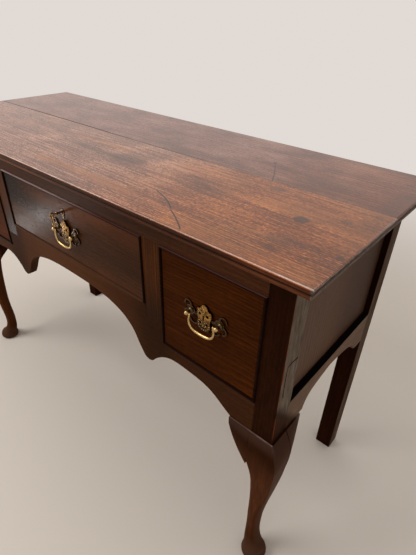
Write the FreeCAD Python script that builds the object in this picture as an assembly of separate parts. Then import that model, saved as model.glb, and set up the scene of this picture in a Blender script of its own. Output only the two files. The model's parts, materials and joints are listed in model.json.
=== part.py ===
"""Oak lowboy: moulded two-board top, shaped apron, three drawers, cabriole front legs.

Millimetres. X runs left to right, Y from front to back, Z up. The origin is on the
floor under the middle of the top.
"""
import FreeCAD, Part
import math
import os

V = FreeCAD.Vector

# Driving sizes
HEIGHT = 780.0
TOP_WIDTH = 1200.0
TOP_DEPTH = 476.0
TOP_THICK = 18.0
CASE_HALF = 556.8            # middle of the case to the outer face of a post
FRONT = -186.0               # plane of the front legs, rails and drawer faces
REAR = 225.0                 # plane of the rear legs
POST = 43.0                  # square section of the front posts
REAR_LEG = 41.0              # square section of the rear legs
KNEE = 407.0                 # height where the post ends and the cabriole knee begins
EAR = 49.0                   # width of the bracket glued to each side of a knee

# Top board edge
NOSING = 9.0
QUIRK = 1.2
QUIRK_INSET = 4.5
LOWER_INSET = 3.0
JOINT_LEFT = 15.5            # Y of the joint between the two boards, at the left end
JOINT_RIGHT = 20.4           # and at the right end
JOINT_GAP = 2.6              # the joint has opened this far at its widest
JOINT_CLOSES = 20.0          # X where the open joint closes

# Front frame
RAIL_THICK = 22.0
OPENING_TOP = 702.0
SIDE_OPENING_LOW = 481.0
CENTRE_OPENING_LOW = 555.0
MUNTIN_LOW = 523.0
MUNTIN_IN = 247.0
MUNTIN_OUT = 292.5
BEAD = 5.0                   # face width of the cock bead lining each opening
BEAD_PROUD = 3.0
TENON = 15.0

# Side frames and back
SIDE_LOW_RAIL_TOP = 479.0
SIDE_TOP_RAIL_LOW = 717.0
PANEL_THICK = 8.0
PANEL_RECESS = 12.0
GROOVE = 6.0
BACK_THICK = 18.0
BACK_LOW = 430.0
BACK_INSET = 4.0

# Drawers
FACE_THICK = 20.0
SIDE_THICK = 10.0
BOTTOM_THICK = 8.0
BOTTOM_RISE = 6.0
LAP = 6.0                    # wood left in front of the lapped dovetails
DRAWER_BACK = 190.0          # Y of the outer face of the drawer backs
FACE_GAP = 1.2               # shadow gap round each drawer face
SIDE_DROP = 4.0              # drawer sides stand this much below the face

# Brass handles
POST_SPACING = 65.0
PLATE_THICK = 1.6
SCROLL_THICK = 2.6
CARTOUCHE_PROUD = 6.5        # crown of the domed middle of a backplate
CARTOUCHE_RIM = 4.4          # its thickness at the top and bottom
CARTOUCHE_BEND = 62.0        # radius of the dome across the plate
BAIL_AXIS_PROUD = 12.0       # bail axis in front of the drawer face
BAIL_HALF = 25.9
BAIL_DROP = 30.5
HEAD_R = 4.5
PIN_R = 1.6
PIN_CLEARANCE = 0.05
SHANK_R = 2.5

# Lock of the centre drawer
KEY_Z = 670.0
KEY_R = 2.2
PIPE_R = 1.05                # bore of the key's pipe
DRILL_PIN_R = 1.0
BIT_REACH = 8.0              # key axis to the end of the bit
BIT_THICK = 2.0
KEYHOLE_R = 2.7
KEYHOLE_HALF = 1.3           # half width of the slot under the round hole
ESCUTCHEON_THICK = 1.2
EYE_PROUD = 25.5             # middle of the key's eye in front of the drawer face
EYE_R = 4.0                  # the eye is a ring of round rod
EYE_ROD_R = 1.3
RING_R = 12.0                # loose ring that hangs in the eye
RING_WIRE_R = 1.2
RING_CLEARANCE = 0.3
RING_TURN = -17.0            # the ring hangs a little askew
LOCK_HALF = 21.0
LOCK_PLATE_HALF = 28.0
LOCK_LOW = 655.0
LOCK_DEPTH = 10.0            # from the back of the drawer face to the front of the case
LOCK_WALL = 1.4
LOCK_PLATE = 2.0
BOLT_HALF = 12.0
BOLT_THROW = 8.0

Z_UNDER_TOP = HEIGHT - TOP_THICK
POST_IN = CASE_HALF - POST
BACK_Y0 = REAR - BACK_INSET - BACK_THICK
RAIL_BACK = FRONT + RAIL_THICK


# Solids from simple outlines ------------------------------------------------
def block(x0, x1, y0, y1, z0, z1):
    return Part.makeBox(x1 - x0, y1 - y0, z1 - z0, V(x0, y0, z0))


def line(a, b):
    return Part.LineSegment(a, b).toShape()


def arc(a, b, c):
    return Part.Arc(a, b, c).toShape()


def curve(points, start=None, end=None):
    spline = Part.BSplineCurve()
    if start is None:
        spline.interpolate(points)
    else:
        spline.interpolate(Points=points, InitialTangent=start, FinalTangent=end)
    return spline.toShape()


def prism(edges, sweep):
    return Part.Face(Part.Wire(edges)).extrude(sweep)


def polygon_prism(points, sweep):
    return Part.Face(Part.makePolygon(points + points[:1])).extrude(sweep)


def mirrored(shape):
    return shape.mirror(V(0, 0, 0), V(1, 0, 0))


def round_edges(shape, radius, keep):
    edges = [edge for edge in shape.Edges if keep(edge.CenterOfMass)]
    return shape.makeFillet(radius, edges)


def group(solids):
    return Part.Compound(solids)


# The top: two boards under one moulded edge -------------------------------------
def edge_member(inset, z0, z1, radius, both_edges):
    """One member of the moulding: a slab rounded along the front and the two ends."""
    half = TOP_WIDTH / 2 - inset
    low = -TOP_DEPTH / 2 + inset
    over = TOP_DEPTH / 2 + 20.0
    slab = block(-half, half, low, over, z0, z1)

    def moulded(mid):
        on_rim = abs(abs(mid.x) - half) < 0.1 or abs(mid.y - low) < 0.1
        on_top = abs(mid.z - z1) < 0.1 and both_edges
        return on_rim and (on_top or abs(mid.z - z0) < 0.1)

    return round_edges(slab, radius, moulded)


def moulded_top():
    z_quirk = HEIGHT - NOSING - QUIRK
    upper = edge_member(0, HEIGHT - NOSING, HEIGHT, 3.6, True)
    lower = edge_member(LOWER_INSET, Z_UNDER_TOP, z_quirk, 2.6, False)
    half = TOP_WIDTH / 2 - QUIRK_INSET
    low = -TOP_DEPTH / 2 + QUIRK_INSET
    over = TOP_DEPTH / 2 + 20.0
    quirk = block(-half, half, low, over, z_quirk - 1.0, HEIGHT - NOSING + 1.0)
    slab = upper.fuse([lower, quirk])
    return slab.common(block(-700, 700, -300, TOP_DEPTH / 2, 700, 800))


def joint_y(x):
    slope = (JOINT_RIGHT - JOINT_LEFT) / TOP_WIDTH
    return JOINT_LEFT + slope * (x + TOP_WIDTH / 2)


def top_boards():
    slab = moulded_top()
    up = V(0, 0, 100)
    z0 = 720.0
    left, right = -640.0, 640.0
    front_left, front_right = V(left, joint_y(left), z0), V(right, joint_y(right), z0)
    front_half = polygon_prism([front_left, front_right, V(right, -300, z0), V(left, -300, z0)], up)
    closes = V(JOINT_CLOSES, joint_y(JOINT_CLOSES), z0)
    widest = V(-280, joint_y(-280) + JOINT_GAP, z0)
    hollow_start = front_left + V(0, 0.4, 0)
    back_half = prism([arc(hollow_start, widest, closes), line(closes, front_right),
                       line(front_right, V(right, 300, z0)), line(V(right, 300, z0), V(left, 300, z0)),
                       line(V(left, 300, z0), hollow_start)], up)
    return slab.common(front_half), slab.common(back_half)


# Cabriole front legs ------------------------------------------------------------
# Stations down the right leg. Each row gives the height, how far the side face and
# the front face stand proud of the post, and the radii of the outer arris and of the
# two corners beside it. In the knee the back faces stay in line with the post.
KNEE_STATIONS = [
    (KNEE, 3.0, 3.0, 0.8, 0.8),
    (390.0, 11.0, 8.0, 0.8, 0.8),
    (365.0, 19.0, 11.0, 0.8, 0.8),
    (335.0, 19.0, 10.0, 1.0, 2.0),
]
# Below the knee a row also gives the width of the section.
SHANK_STATIONS = [
    (300.0, 16.5, 8.0, 51.5, 1.6, 7.0),
    (260.0, 12.0, 4.0, 45.0, 3.5, 11.0),
    (215.0, 5.0, 0.0, 38.3, 8.0, 12.5),
    (165.0, -2.0, -3.0, 32.5, 13.0, 14.0),
    (110.0, -6.5, -7.5, 30.0, 14.3, 14.3),
    (70.0, -7.0, -9.0, 30.0, 14.3, 14.3),
    (45.0, -1.5, -4.0, 34.4, 16.5, 16.5),
    (22.0, 17.0, 10.5, 47.0, 23.0, 23.0),
]
FOOT_INSET_X = 6.0           # centre of the pad, in from the corner of the case
FOOT_INSET_Y = 13.0
PAD_R = 28.0
PAD_HEIGHT = 24.0
# Outline of a knee bracket below its top: distance in from the tip, height.
FRONT_BRACKET = [(0.6, 390.0), (13.0, 366.0), (27.0, 346.0), (EAR, 319.0)]
SIDE_BRACKET = [(0.3, 390.0), (3.0, 366.0), (19.0, 346.0), (EAR, 318.0)]


def leg_section(z, side_proud, front_proud, wide, deep, arris_r, side_r):
    """Square section with softened corners; wide along X and deep along Y."""
    centre = V(CASE_HALF + side_proud - wide / 2, FRONT - front_proud + deep / 2, z)
    inner_r = min(0.47 * wide, 0.47 * deep, side_r + 6.0)
    turns = [(1, -1, arris_r), (1, 1, side_r), (-1, 1, inner_r), (-1, -1, side_r)]
    ways = [V(1, 0, 0), V(0, 1, 0), V(-1, 0, 0), V(0, -1, 0)]
    arcs = []
    for index, (sx, sy, radius) in enumerate(turns):
        corner = centre + V(sx * wide / 2, sy * deep / 2, 0)
        way_in, way_out = ways[index], ways[(index + 1) % 4]
        hub = corner - way_in * radius + way_out * radius
        middle = hub + (corner - hub).normalize() * radius
        arcs.append((corner - way_in * radius, middle, corner + way_out * radius))
    edges = []
    for index, (a, b, c) in enumerate(arcs):
        edges.append(arc(a, b, c))
        edges.append(line(c, arcs[(index + 1) % 4][0]))
    return Part.Wire(edges)


def pad_foot():
    rim = [V(PAD_R - 5, 0, 0), V(PAD_R - 1.2, 0, 4), V(PAD_R, 0, 11)]
    shoulder = [V(PAD_R, 0, 11), V(PAD_R - 1.5, 0, 17), V(PAD_R - 5, 0, PAD_HEIGHT)]
    axis_top = V(0, 0, PAD_HEIGHT)
    edges = [line(V(0, 0, 0), rim[0]), arc(*rim), arc(*shoulder),
             line(shoulder[2], axis_top), line(axis_top, V(0, 0, 0))]
    pad = Part.Face(Part.Wire(edges)).revolve(V(0, 0, 0), V(0, 0, 1), 360)
    pad.translate(V(CASE_HALF - FOOT_INSET_X, FRONT + FOOT_INSET_Y, 0))
    return pad


def cabriole_leg():
    sections = []
    for z, side, front, arris_r, side_r in KNEE_STATIONS:
        sections.append(leg_section(z, side, front, POST + side, POST + front, arris_r, side_r))
    for z, side, front, width, arris_r, side_r in SHANK_STATIONS:
        sections.append(leg_section(z, side, front, width, width, arris_r, side_r))
    shank = Part.makeLoft(sections, True, False)
    post = block(POST_IN, CASE_HALF, FRONT, FRONT + POST, KNEE, Z_UNDER_TOP)
    return shank.fuse([post, pad_foot()])


def knee_profile(x, stations):
    """Closed profile of a knee bracket in the plane at x: shaped front, flat back."""
    points = [V(x, FRONT - proud, z) for z, proud in stations]
    back = FRONT + 32.0
    top_back, low_back = V(x, back, KNEE), V(x, back, points[-1].z)
    return Part.Wire([curve(points), line(points[-1], low_back),
                      line(low_back, top_back), line(top_back, points[0])])


def knee_bracket(face, outline):
    """Bracket beside the right leg, on the front, carved flush with one knee face.

    face is the column of the stations that it follows: 1 for side, 2 for front.
    """
    rows = KNEE_STATIONS + SHANK_STATIONS[:1]
    at_leg = [(row[0], row[face]) for row in rows]
    at_tip = [(row[0], BEAD_PROUD) for row in rows]
    tip_x = POST_IN - EAR
    blank = Part.makeLoft([knee_profile(POST_IN, at_leg), knee_profile(tip_x, at_tip)], True, True)
    y = FRONT - 100.0
    top_in, top_out = V(POST_IN, y, KNEE), V(tip_x, y, KNEE)
    sweep = [V(tip_x + inset, y, z) for inset, z in outline]
    edges = [line(top_in, top_out), line(top_out, sweep[0]), curve(sweep), line(sweep[-1], top_in)]
    return blank.common(prism(edges, V(0, 200, 0)))


def across_the_corner(shape):
    """Turn a front bracket of the right leg into its side bracket."""
    return shape.mirror(V(CASE_HALF, FRONT, 0), V(1, 1, 0))


# Front frame ----------------------------------------------------------------
def end_tenons(z0, z1):
    y0, y1 = FRONT + 5.0, FRONT + 17.0
    right = block(POST_IN, POST_IN + TENON, y0, y1, z0, z1)
    return [right, mirrored(right)]


def front_top_rail():
    rail = block(-POST_IN, POST_IN, FRONT, RAIL_BACK, OPENING_TOP, Z_UNDER_TOP)
    return rail.fuse(end_tenons(OPENING_TOP + 8, Z_UNDER_TOP - 6))


def apron_lower_edge():
    """Right half of the shaped lower edge, from the middle of the front outwards."""
    y = FRONT
    arch = [V(0, y, 515), V(110, y, 509), V(168, y, 491.5), V(205, y, 460), V(221, y, 431), V(233, y, 413)]
    pendant = [V(233, y, 413), V(246, y, 407), V(260, y, 413)]
    side_arch = [V(260, y, 413), V(281, y, 434), V(309, y, 448.5), V(341, y, 451), V(376, y, 448),
                 V(410, y, 441), V(441, y, 423), V(POST_IN - EAR, y, KNEE)]
    return [curve(arch, V(1, 0, 0), V(0.6, 0, -1)), arc(*pendant),
            curve(side_arch), line(side_arch[-1], V(POST_IN, y, KNEE))]


def front_apron():
    half_line = apron_lower_edge()
    y = FRONT
    corners = [V(POST_IN, y, KNEE), V(POST_IN, y, SIDE_OPENING_LOW), V(MUNTIN_OUT, y, SIDE_OPENING_LOW),
               V(MUNTIN_OUT, y, MUNTIN_LOW), V(MUNTIN_IN, y, MUNTIN_LOW),
               V(MUNTIN_IN, y, CENTRE_OPENING_LOW), V(0, y, CENTRE_OPENING_LOW), V(0, y, 515)]
    upper = [line(a, b) for a, b in zip(corners, corners[1:])]
    half = prism(half_line + upper, V(0, RAIL_THICK, 0))
    board = half.fuse(mirrored(half)).removeSplitter()
    return board.fuse(end_tenons(KNEE + 12, SIDE_OPENING_LOW - 10))


def muntin():
    y0, y1 = FRONT + 6.0, FRONT + 16.0
    board = block(MUNTIN_IN, MUNTIN_OUT, FRONT, RAIL_BACK, MUNTIN_LOW, OPENING_TOP)
    tenon = block(MUNTIN_IN + 10, MUNTIN_OUT - 10, y0, y1, MUNTIN_LOW - TENON, OPENING_TOP + TENON)
    return board.fuse(tenon)


def cock_beads(x0, x1, z0, z1):
    """Four mitred strips lining one drawer opening, with a half-round nose."""
    nose, back = FRONT - BEAD_PROUD, RAIL_BACK
    ring = block(x0, x1, nose, back, z0, z1)
    ring = ring.cut(block(x0 + BEAD, x1 - BEAD, nose - 1, back + 1, z0 + BEAD, z1 - BEAD))
    ring = round_edges(ring, BEAD / 2 - 0.1, lambda mid: abs(mid.y - nose) < 0.1)
    outer = [V(x0, nose - 1, z0), V(x1, nose - 1, z0), V(x1, nose - 1, z1), V(x0, nose - 1, z1)]
    inner = [V(x0 + BEAD, nose - 1, z0 + BEAD), V(x1 - BEAD, nose - 1, z0 + BEAD),
             V(x1 - BEAD, nose - 1, z1 - BEAD), V(x0 + BEAD, nose - 1, z1 - BEAD)]
    strips = []
    for side in range(4):
        after = (side + 1) % 4
        mitre = polygon_prism([outer[side], outer[after], inner[after], inner[side]], V(0, 40, 0))
        strips.append(ring.common(mitre))
    return strips


# Side frames ----------------------------------------------------------------
def side_tenons(z0, z1):
    x0, x1 = CASE_HALF - 18.0, CASE_HALF - 8.0
    front = block(x0, x1, FRONT + POST - TENON, FRONT + POST, z0, z1)
    rear = block(x0, x1, REAR - REAR_LEG, REAR - REAR_LEG + TENON, z0, z1)
    return [front, rear]


def side_lower_rail():
    x = CASE_HALF - RAIL_THICK
    y0, y1 = FRONT + POST, REAR - REAR_LEG
    shoulder = V(x, y0 + EAR + 12, KNEE - 1)
    drop = V(x, 142, KNEE - 1)
    arch = [shoulder, V(x, -61, 435), V(x, -25, 445), V(x, 13, 451), V(x, 46, 448),
            V(x, 85, 441), V(x, 115, 431), drop]
    heel = V(x, 156, 402)
    ends = [V(x, y1, 402), V(x, y1, SIDE_LOW_RAIL_TOP), V(x, y0, SIDE_LOW_RAIL_TOP), V(x, y0, KNEE)]
    start = V(x, y0 + EAR, KNEE)
    edges = [line(ends[-1], start), line(start, shoulder), curve(arch), line(drop, heel), line(heel, ends[0])]
    edges += [line(a, b) for a, b in zip(ends, ends[1:])]
    rail = prism(edges, V(RAIL_THICK, 0, 0))
    return rail.fuse(side_tenons(KNEE + 10, SIDE_LOW_RAIL_TOP - 15))


def side_upper_rail():
    rail = block(CASE_HALF - RAIL_THICK, CASE_HALF, FRONT + POST, REAR - REAR_LEG,
                 SIDE_TOP_RAIL_LOW, Z_UNDER_TOP)
    return rail.fuse(side_tenons(SIDE_TOP_RAIL_LOW + 11, Z_UNDER_TOP - 5))


def side_panel():
    x1 = CASE_HALF - PANEL_RECESS
    return block(x1 - PANEL_THICK, x1, FRONT + POST - GROOVE, REAR - REAR_LEG + GROOVE,
                 SIDE_LOW_RAIL_TOP - GROOVE, SIDE_TOP_RAIL_LOW + GROOVE)


# Back, runners and the small pieces inside the case -----------------------------
def back_board(z0, z1):
    inner = CASE_HALF - REAR_LEG
    board = block(-inner, inner, BACK_Y0, BACK_Y0 + BACK_THICK, z0, z1)
    tongue = block(inner, inner + 12, BACK_Y0 + 4, BACK_Y0 + 14, z0, z1)
    return board.fuse([tongue, mirrored(tongue)])


def rear_leg():
    return block(CASE_HALF - REAR_LEG, CASE_HALF, REAR - REAR_LEG, REAR, 0, Z_UNDER_TOP)


def runner(drawer_edge, bearing_z, way, reach):
    """L-section runner: a bearer under the drawer side and a guide beside it.

    drawer_edge is the X of the outer face of the drawer side, way is +1 when the
    guide lies towards +X, and reach is how far the guide extends from the drawer.
    """
    inner = drawer_edge - way * 18.0
    guide_in = drawer_edge + way * 0.5
    outer = drawer_edge + way * reach
    bearer = block(min(inner, outer), max(inner, outer), RAIL_BACK, BACK_Y0, bearing_z - 18, bearing_z)
    guide = block(min(guide_in, outer), max(guide_in, outer), RAIL_BACK, BACK_Y0, bearing_z, bearing_z + 14)
    return bearer.fuse(guide)


def kickers():
    y0, y1, z0, z1 = RAIL_BACK, BACK_Y0, OPENING_TOP - 2, OPENING_TOP + 16
    middle = block(232, 308, y0, y1, z0, z1)
    outer = block(486, CASE_HALF - RAIL_THICK, y0, y1, z0, z1)
    return [middle, mirrored(middle), outer, mirrored(outer)]


def stop_block(x, bearing_z):
    return block(x - 8, x + 8, DRAWER_BACK + 0.4, BACK_Y0, bearing_z + 0.5, bearing_z + 22)


def glue_block(x, y, turn):
    """Three-cornered block, rubbed into the angle between the frame and the top."""
    size = 20.0
    corner = V(0, 0, Z_UNDER_TOP)
    wedge = polygon_prism([corner, V(0, size, Z_UNDER_TOP), V(0, 0, Z_UNDER_TOP - size)], V(60, 0, 0))
    wedge.translate(V(-30, 0, 0))
    wedge.rotate(V(0, 0, 0), V(0, 0, 1), turn)
    wedge.translate(V(x, y, 0))
    return wedge


def glue_blocks():
    side_x = CASE_HALF - RAIL_THICK
    blocks = [glue_block(x, RAIL_BACK, 0) for x in (-400, -130, 130, 400)]
    blocks += [glue_block(side_x, y, 90) for y in (-60, 100)]
    blocks += [glue_block(-side_x, y, -90) for y in (-60, 100)]
    return group(blocks)


# Drawers --------------------------------------------------------------------
def tails(x0, x1, y_root, y_tip, z0, z1, count):
    """Dovetails on the end of a drawer side, narrow at the root and wide at the tip."""
    pitch = (z1 - z0) / count
    flare = 0.14 * abs(y_tip - y_root)
    solids = []
    for index in range(count):
        middle = z0 + pitch * (index + 0.5)
        root, tip = 0.30 * pitch, 0.30 * pitch + flare
        solids.append(polygon_prism([V(x0, y_root, middle - root), V(x0, y_tip, middle - tip),
                                     V(x0, y_tip, middle + tip), V(x0, y_root, middle + root)],
                                    V(x1 - x0, 0, 0)))
    return solids


def drawer_pieces(x0, x1, z0, z1, count):
    """Face, sides, back and bottom of the drawer that fills one beaded opening."""
    left, right = x0 + BEAD + FACE_GAP, x1 - BEAD - FACE_GAP
    low, high = z0 + BEAD + FACE_GAP, z1 - BEAD - FACE_GAP
    side_low, side_high = z0 + BEAD + 0.3, high - SIDE_DROP
    face_back, back_face = FRONT + FACE_THICK, DRAWER_BACK - SIDE_THICK
    sides = []
    for edge in (left, right - SIDE_THICK):
        side = block(edge, edge + SIDE_THICK, face_back, back_face, side_low, side_high)
        front_tails = tails(edge, edge + SIDE_THICK, face_back, FRONT + LAP, low, side_high, count)
        rear_tails = tails(edge, edge + SIDE_THICK, back_face, DRAWER_BACK, side_low, side_high, count)
        sides.append(side.fuse(front_tails + rear_tails))
    bottom_z = side_low + BOTTOM_RISE
    bottom = block(left + 5, right - 5, face_back - 5, DRAWER_BACK, bottom_z, bottom_z + BOTTOM_THICK)
    face = block(left, right, FRONT, face_back, low, high).cut(sides + [bottom])
    back = block(left, right, back_face, DRAWER_BACK, bottom_z + BOTTOM_THICK, side_high - 6).cut(sides)
    return {"front": face, "left_side": sides[0].cut(bottom), "right_side": sides[1].cut(bottom),
            "back": back, "bottom": bottom}


# Brass handles ----------------------------------------------------------------
# A handle is drawn round the middle between its posts, with the drawer face at y = 0.
def disc(centre, radius, proud):
    return Part.makeCylinder(radius, proud, V(centre.x, -proud, centre.z), V(0, 1, 0))


def scroll(x, z, radius, width, start, end):
    """A C-scroll with a round eye at each end; angles in degrees."""
    def at(r, angle):
        turn = math.radians(angle)
        return V(x + r * math.cos(turn), 0, z + r * math.sin(turn))

    middle = (start + end) / 2
    outer, inner = radius + width / 2, radius - width / 2
    edges = [arc(at(outer, start), at(outer, middle), at(outer, end)),
             line(at(outer, end), at(inner, end)),
             arc(at(inner, end), at(inner, middle), at(inner, start)),
             line(at(inner, start), at(outer, start))]
    band = prism(edges, V(0, -SCROLL_THICK, 0))
    eyes = [disc(at(radius, angle), 0.72 * width, SCROLL_THICK) for angle in (start, end)]
    return band.fuse(eyes)


def cartouche():
    """Domed and pierced shield in the middle of the plate."""
    crest, shoulder, corner = V(0, 0, 27.6), V(7.4, 0, 20.8), V(14.3, 0, 17.1)
    foot, point = V(10.7, 0, -23), V(0, 0, -26.5)
    flank = curve([corner, V(15.8, 0, 10), V(12.8, 0, -4), V(13.8, 0, -12), foot])
    half = prism([arc(crest, V(4.6, 0, 25.2), shoulder), arc(shoulder, V(10.2, 0, 18.0), corner), flank,
                  arc(foot, V(6.0, 0, -25.8), point), line(point, crest)], V(0, -10, 0))
    blank = half.fuse(mirrored(half)).removeSplitter()
    bend = CARTOUCHE_BEND
    across = Part.makeCylinder(bend, 80, V(0, bend - CARTOUCHE_PROUD, -40), V(0, 0, 1))
    drop = CARTOUCHE_PROUD - CARTOUCHE_RIM
    ball_r = (crest.z ** 2 + drop ** 2) / (2 * drop)
    ball = Part.makeSphere(ball_r, V(0, ball_r - CARTOUCHE_PROUD, 0))
    holes = [round_edges(block(-1.7, 1.7, -12, 2, -4, 7), 1.6, lambda mid: abs(mid.y + 5) < 0.1),
             disc(V(0, 0, -19.5), 1.5, 12)]
    for x, z, radius in ((8.4, 8.2, 2.9), (5.0, 15.8, 1.5), (7.2, -9.5, 2.4), (5.0, -17.6, 1.5)):
        holes += [disc(V(side * x, 0, z), radius, 12) for side in (-1, 1)]
    return blank.common(across).common(ball).cut(holes)


def plate_wing():
    """Right wing: a bar out to the post, a half collar, a high scroll, a curled tip and a low scroll."""
    post_x = POST_SPACING / 2
    bar = block(10, post_x, -PLATE_THICK, 0, -3.4, 1.8)
    half_collar = scroll(post_x, 0, 10.5, 2.8, 60, 165)
    high = scroll(38.3, 12.7, 6.8, 2.8, -5, 175)
    tip = scroll(38.4, -7.8, 7.5, 2.8, -75, 78)
    low = scroll(24.0, -13.6, 8.9, 2.8, 180, 335)
    return bar.fuse([half_collar, high, tip, low])


def backplate(x, z):
    posts = [V(side * POST_SPACING / 2, 0, 0) for side in (-1, 1)]
    rosettes = [disc(post, 8.5, PLATE_THICK) for post in posts]
    plate = cartouche().fuse(rosettes + [plate_wing(), mirrored(plate_wing())])
    plate = plate.cut([disc(post, SHANK_R + 0.1, 8) for post in posts])
    plate.translate(V(x, FRONT, z))
    return plate


def handle_post():
    """Turned post: shank through the drawer face, collar on the plate, ball head."""
    seat = -PLATE_THICK
    head = -BAIL_AXIS_PROUD
    shank_end = FACE_THICK + 6.0
    profile = [V(0, shank_end, 0), V(SHANK_R, shank_end, 0), V(SHANK_R, seat, 0), V(5.4, seat, 0),
               V(5.4, seat - 1.2, 0), V(3.4, seat - 3.0, 0), V(2.7, seat - 5.0, 0),
               V(3.0, head + 2.0, 0), V(0, head + 2.0, 0)]
    stem = Part.Face(Part.makePolygon(profile + profile[:1])).revolve(V(0, 0, 0), V(0, 1, 0), 360)
    return stem.fuse(Part.makeSphere(HEAD_R, V(0, head, 0)))


def handle_posts(x, z):
    posts = []
    for side in (-1, 1):
        mouth = V(-side * 6.0, -BAIL_AXIS_PROUD, 0)
        eye = Part.makeCylinder(PIN_R + PIN_CLEARANCE, 8.0, mouth, V(side, 0, 0))
        post = handle_post().cut(eye)
        post.translate(V(x + side * POST_SPACING / 2, FRONT, z))
        posts.append(post)
    return posts


def handle_nuts(x, z):
    nuts = []
    for side in (-1, 1):
        nut = block(-5, 5, FACE_THICK, FACE_THICK + 3.5, -5, 5)
        nut = nut.cut(Part.makeCylinder(SHANK_R, 20, V(0, FACE_THICK - 5, 0), V(0, 1, 0)))
        nut.translate(V(x + side * POST_SPACING / 2, FRONT, z))
        nuts.append(nut)
    return nuts


def bail(x, z):
    """Bow handle: a D-shaped rod, thickest in the middle, with a pin at each end."""
    half = [V(0, 0, -BAIL_DROP), V(12, 0, -29.6), V(22.4, 0, -25.4), V(27.3, 0, -16.5), V(27.4, 0, -8),
            V(BAIL_HALF, 0, 0)]
    path = curve([V(-p.x, 0, p.z) for p in reversed(half[1:])] + half)
    first, last = path.ParameterRange
    stations = 14
    rings = []
    for index in range(stations + 1):
        share = index / stations
        at = first + (last - first) * share
        radius = 1.9 + 0.9 * math.sin(math.pi * share) ** 2
        rings.append(Part.Wire(Part.makeCircle(radius, path.valueAt(at), path.tangentAt(at))))
    bow = Part.makeLoft(rings, True, False)
    pins = [Part.makeCylinder(PIN_R, 8.2, V(side * BAIL_HALF, 0, 0), V(side, 0, 0)) for side in (-1, 1)]
    elbows = [Part.makeSphere(1.95, V(side * BAIL_HALF, 0, 0)) for side in (-1, 1)]
    handle = bow.fuse(pins + elbows)
    handle.translate(V(x, FRONT - BAIL_AXIS_PROUD, z))
    return handle


# Lock of the centre drawer --------------------------------------------------------
FACE_BACK = FRONT + FACE_THICK
FACE_TOP = OPENING_TOP - BEAD - FACE_GAP
BOLT_FRONT = FACE_BACK - 6.4
BOLT_BACK = FACE_BACK - 3.2


def keyhole(y0, y1):
    """Round hole and slot for the key, along Y."""
    hole = Part.makeCylinder(KEYHOLE_R, y1 - y0, V(0, y0, KEY_Z), V(0, 1, 0))
    return hole.fuse(block(-KEYHOLE_HALF, KEYHOLE_HALF, y0, y1, KEY_Z - BIT_REACH - 0.7, KEY_Z))


def escutcheon():
    """Pear-shaped brass plate round the keyhole, its edge rounded over."""
    y = FRONT - ESCUTCHEON_THICK
    top, top_r = V(0, y, KEY_Z), 6.5
    low, low_r = V(0, y, KEY_Z - 14.0), 3.6
    lean = math.asin((top_r - low_r) / (top.z - low.z))
    right = V(math.cos(lean), 0, -math.sin(lean))
    left = V(-right.x, 0, right.z)
    outline = [arc(top + right * top_r, top + V(0, 0, top_r), top + left * top_r),
               line(top + left * top_r, low + left * low_r),
               arc(low + left * low_r, low - V(0, 0, low_r), low + right * low_r),
               line(low + right * low_r, top + right * top_r)]
    plate = prism(outline, V(0, ESCUTCHEON_THICK, 0))
    return round_edges(plate, 0.6, lambda mid: abs(mid.y - y) < 0.1).cut(keyhole(y - 1, FRONT + 1))


def lock_envelope():
    """The lock as a filled block: works, back plate, and the strip on the top edge of the face."""
    works = block(-LOCK_HALF, LOCK_HALF, FACE_BACK - LOCK_DEPTH, FACE_BACK, LOCK_LOW, FACE_TOP)
    wide = LOCK_PLATE_HALF
    plate = block(-wide, wide, FACE_BACK - LOCK_PLATE, FACE_BACK, LOCK_LOW - 5, FACE_TOP)
    strip = block(-wide, wide, FACE_BACK - LOCK_DEPTH, FACE_BACK, FACE_TOP - LOCK_PLATE, FACE_TOP)
    return works.fuse([plate, strip])


def bolt_way(z0, z1, room):
    return block(-BOLT_HALF - room, BOLT_HALF + room, BOLT_FRONT - room, BOLT_BACK + room, z0, z1)


def lock_case():
    """Hollow lock let into the back of the face, with a drill pin for the pipe of the key."""
    y0, y1 = FACE_BACK - LOCK_DEPTH, FACE_BACK - LOCK_PLATE
    inner, pin_length = LOCK_HALF - LOCK_WALL, 9.0
    cavity = block(-inner, inner, y0 + LOCK_WALL, y1, LOCK_LOW + LOCK_WALL, FACE_TOP - LOCK_PLATE)
    bolt_slot = bolt_way(FACE_TOP - LOCK_PLATE - 1, FACE_TOP + 1, 0.2)
    case = lock_envelope().cut([cavity, bolt_slot, keyhole(y0 - 1, y0 + LOCK_WALL + 1)])
    return case.fuse(Part.makeCylinder(DRILL_PIN_R, pin_length, V(0, y1 - pin_length, KEY_Z), V(0, 1, 0)))


def lock_bolt():
    """Bolt with a leg on the right of the key, and on its left a talon for the bit to lift."""
    crown_low = KEY_Z + BIT_REACH + 1.0
    crown = bolt_way(crown_low, FACE_TOP - 0.2, 0)
    leg = block(BOLT_HALF - 3, BOLT_HALF, BOLT_FRONT, BOLT_BACK, KEY_Z - 6, crown_low)
    talon = block(-BOLT_HALF, -KEY_R - 0.8, BOLT_FRONT, BOLT_BACK, KEY_Z + BIT_THICK / 2 + 0.2, crown_low)
    return crown.fuse([leg, talon])


def bolt_mortise():
    return bolt_way(FACE_TOP, FACE_TOP + BOLT_THROW + 2, 0.8)


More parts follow.
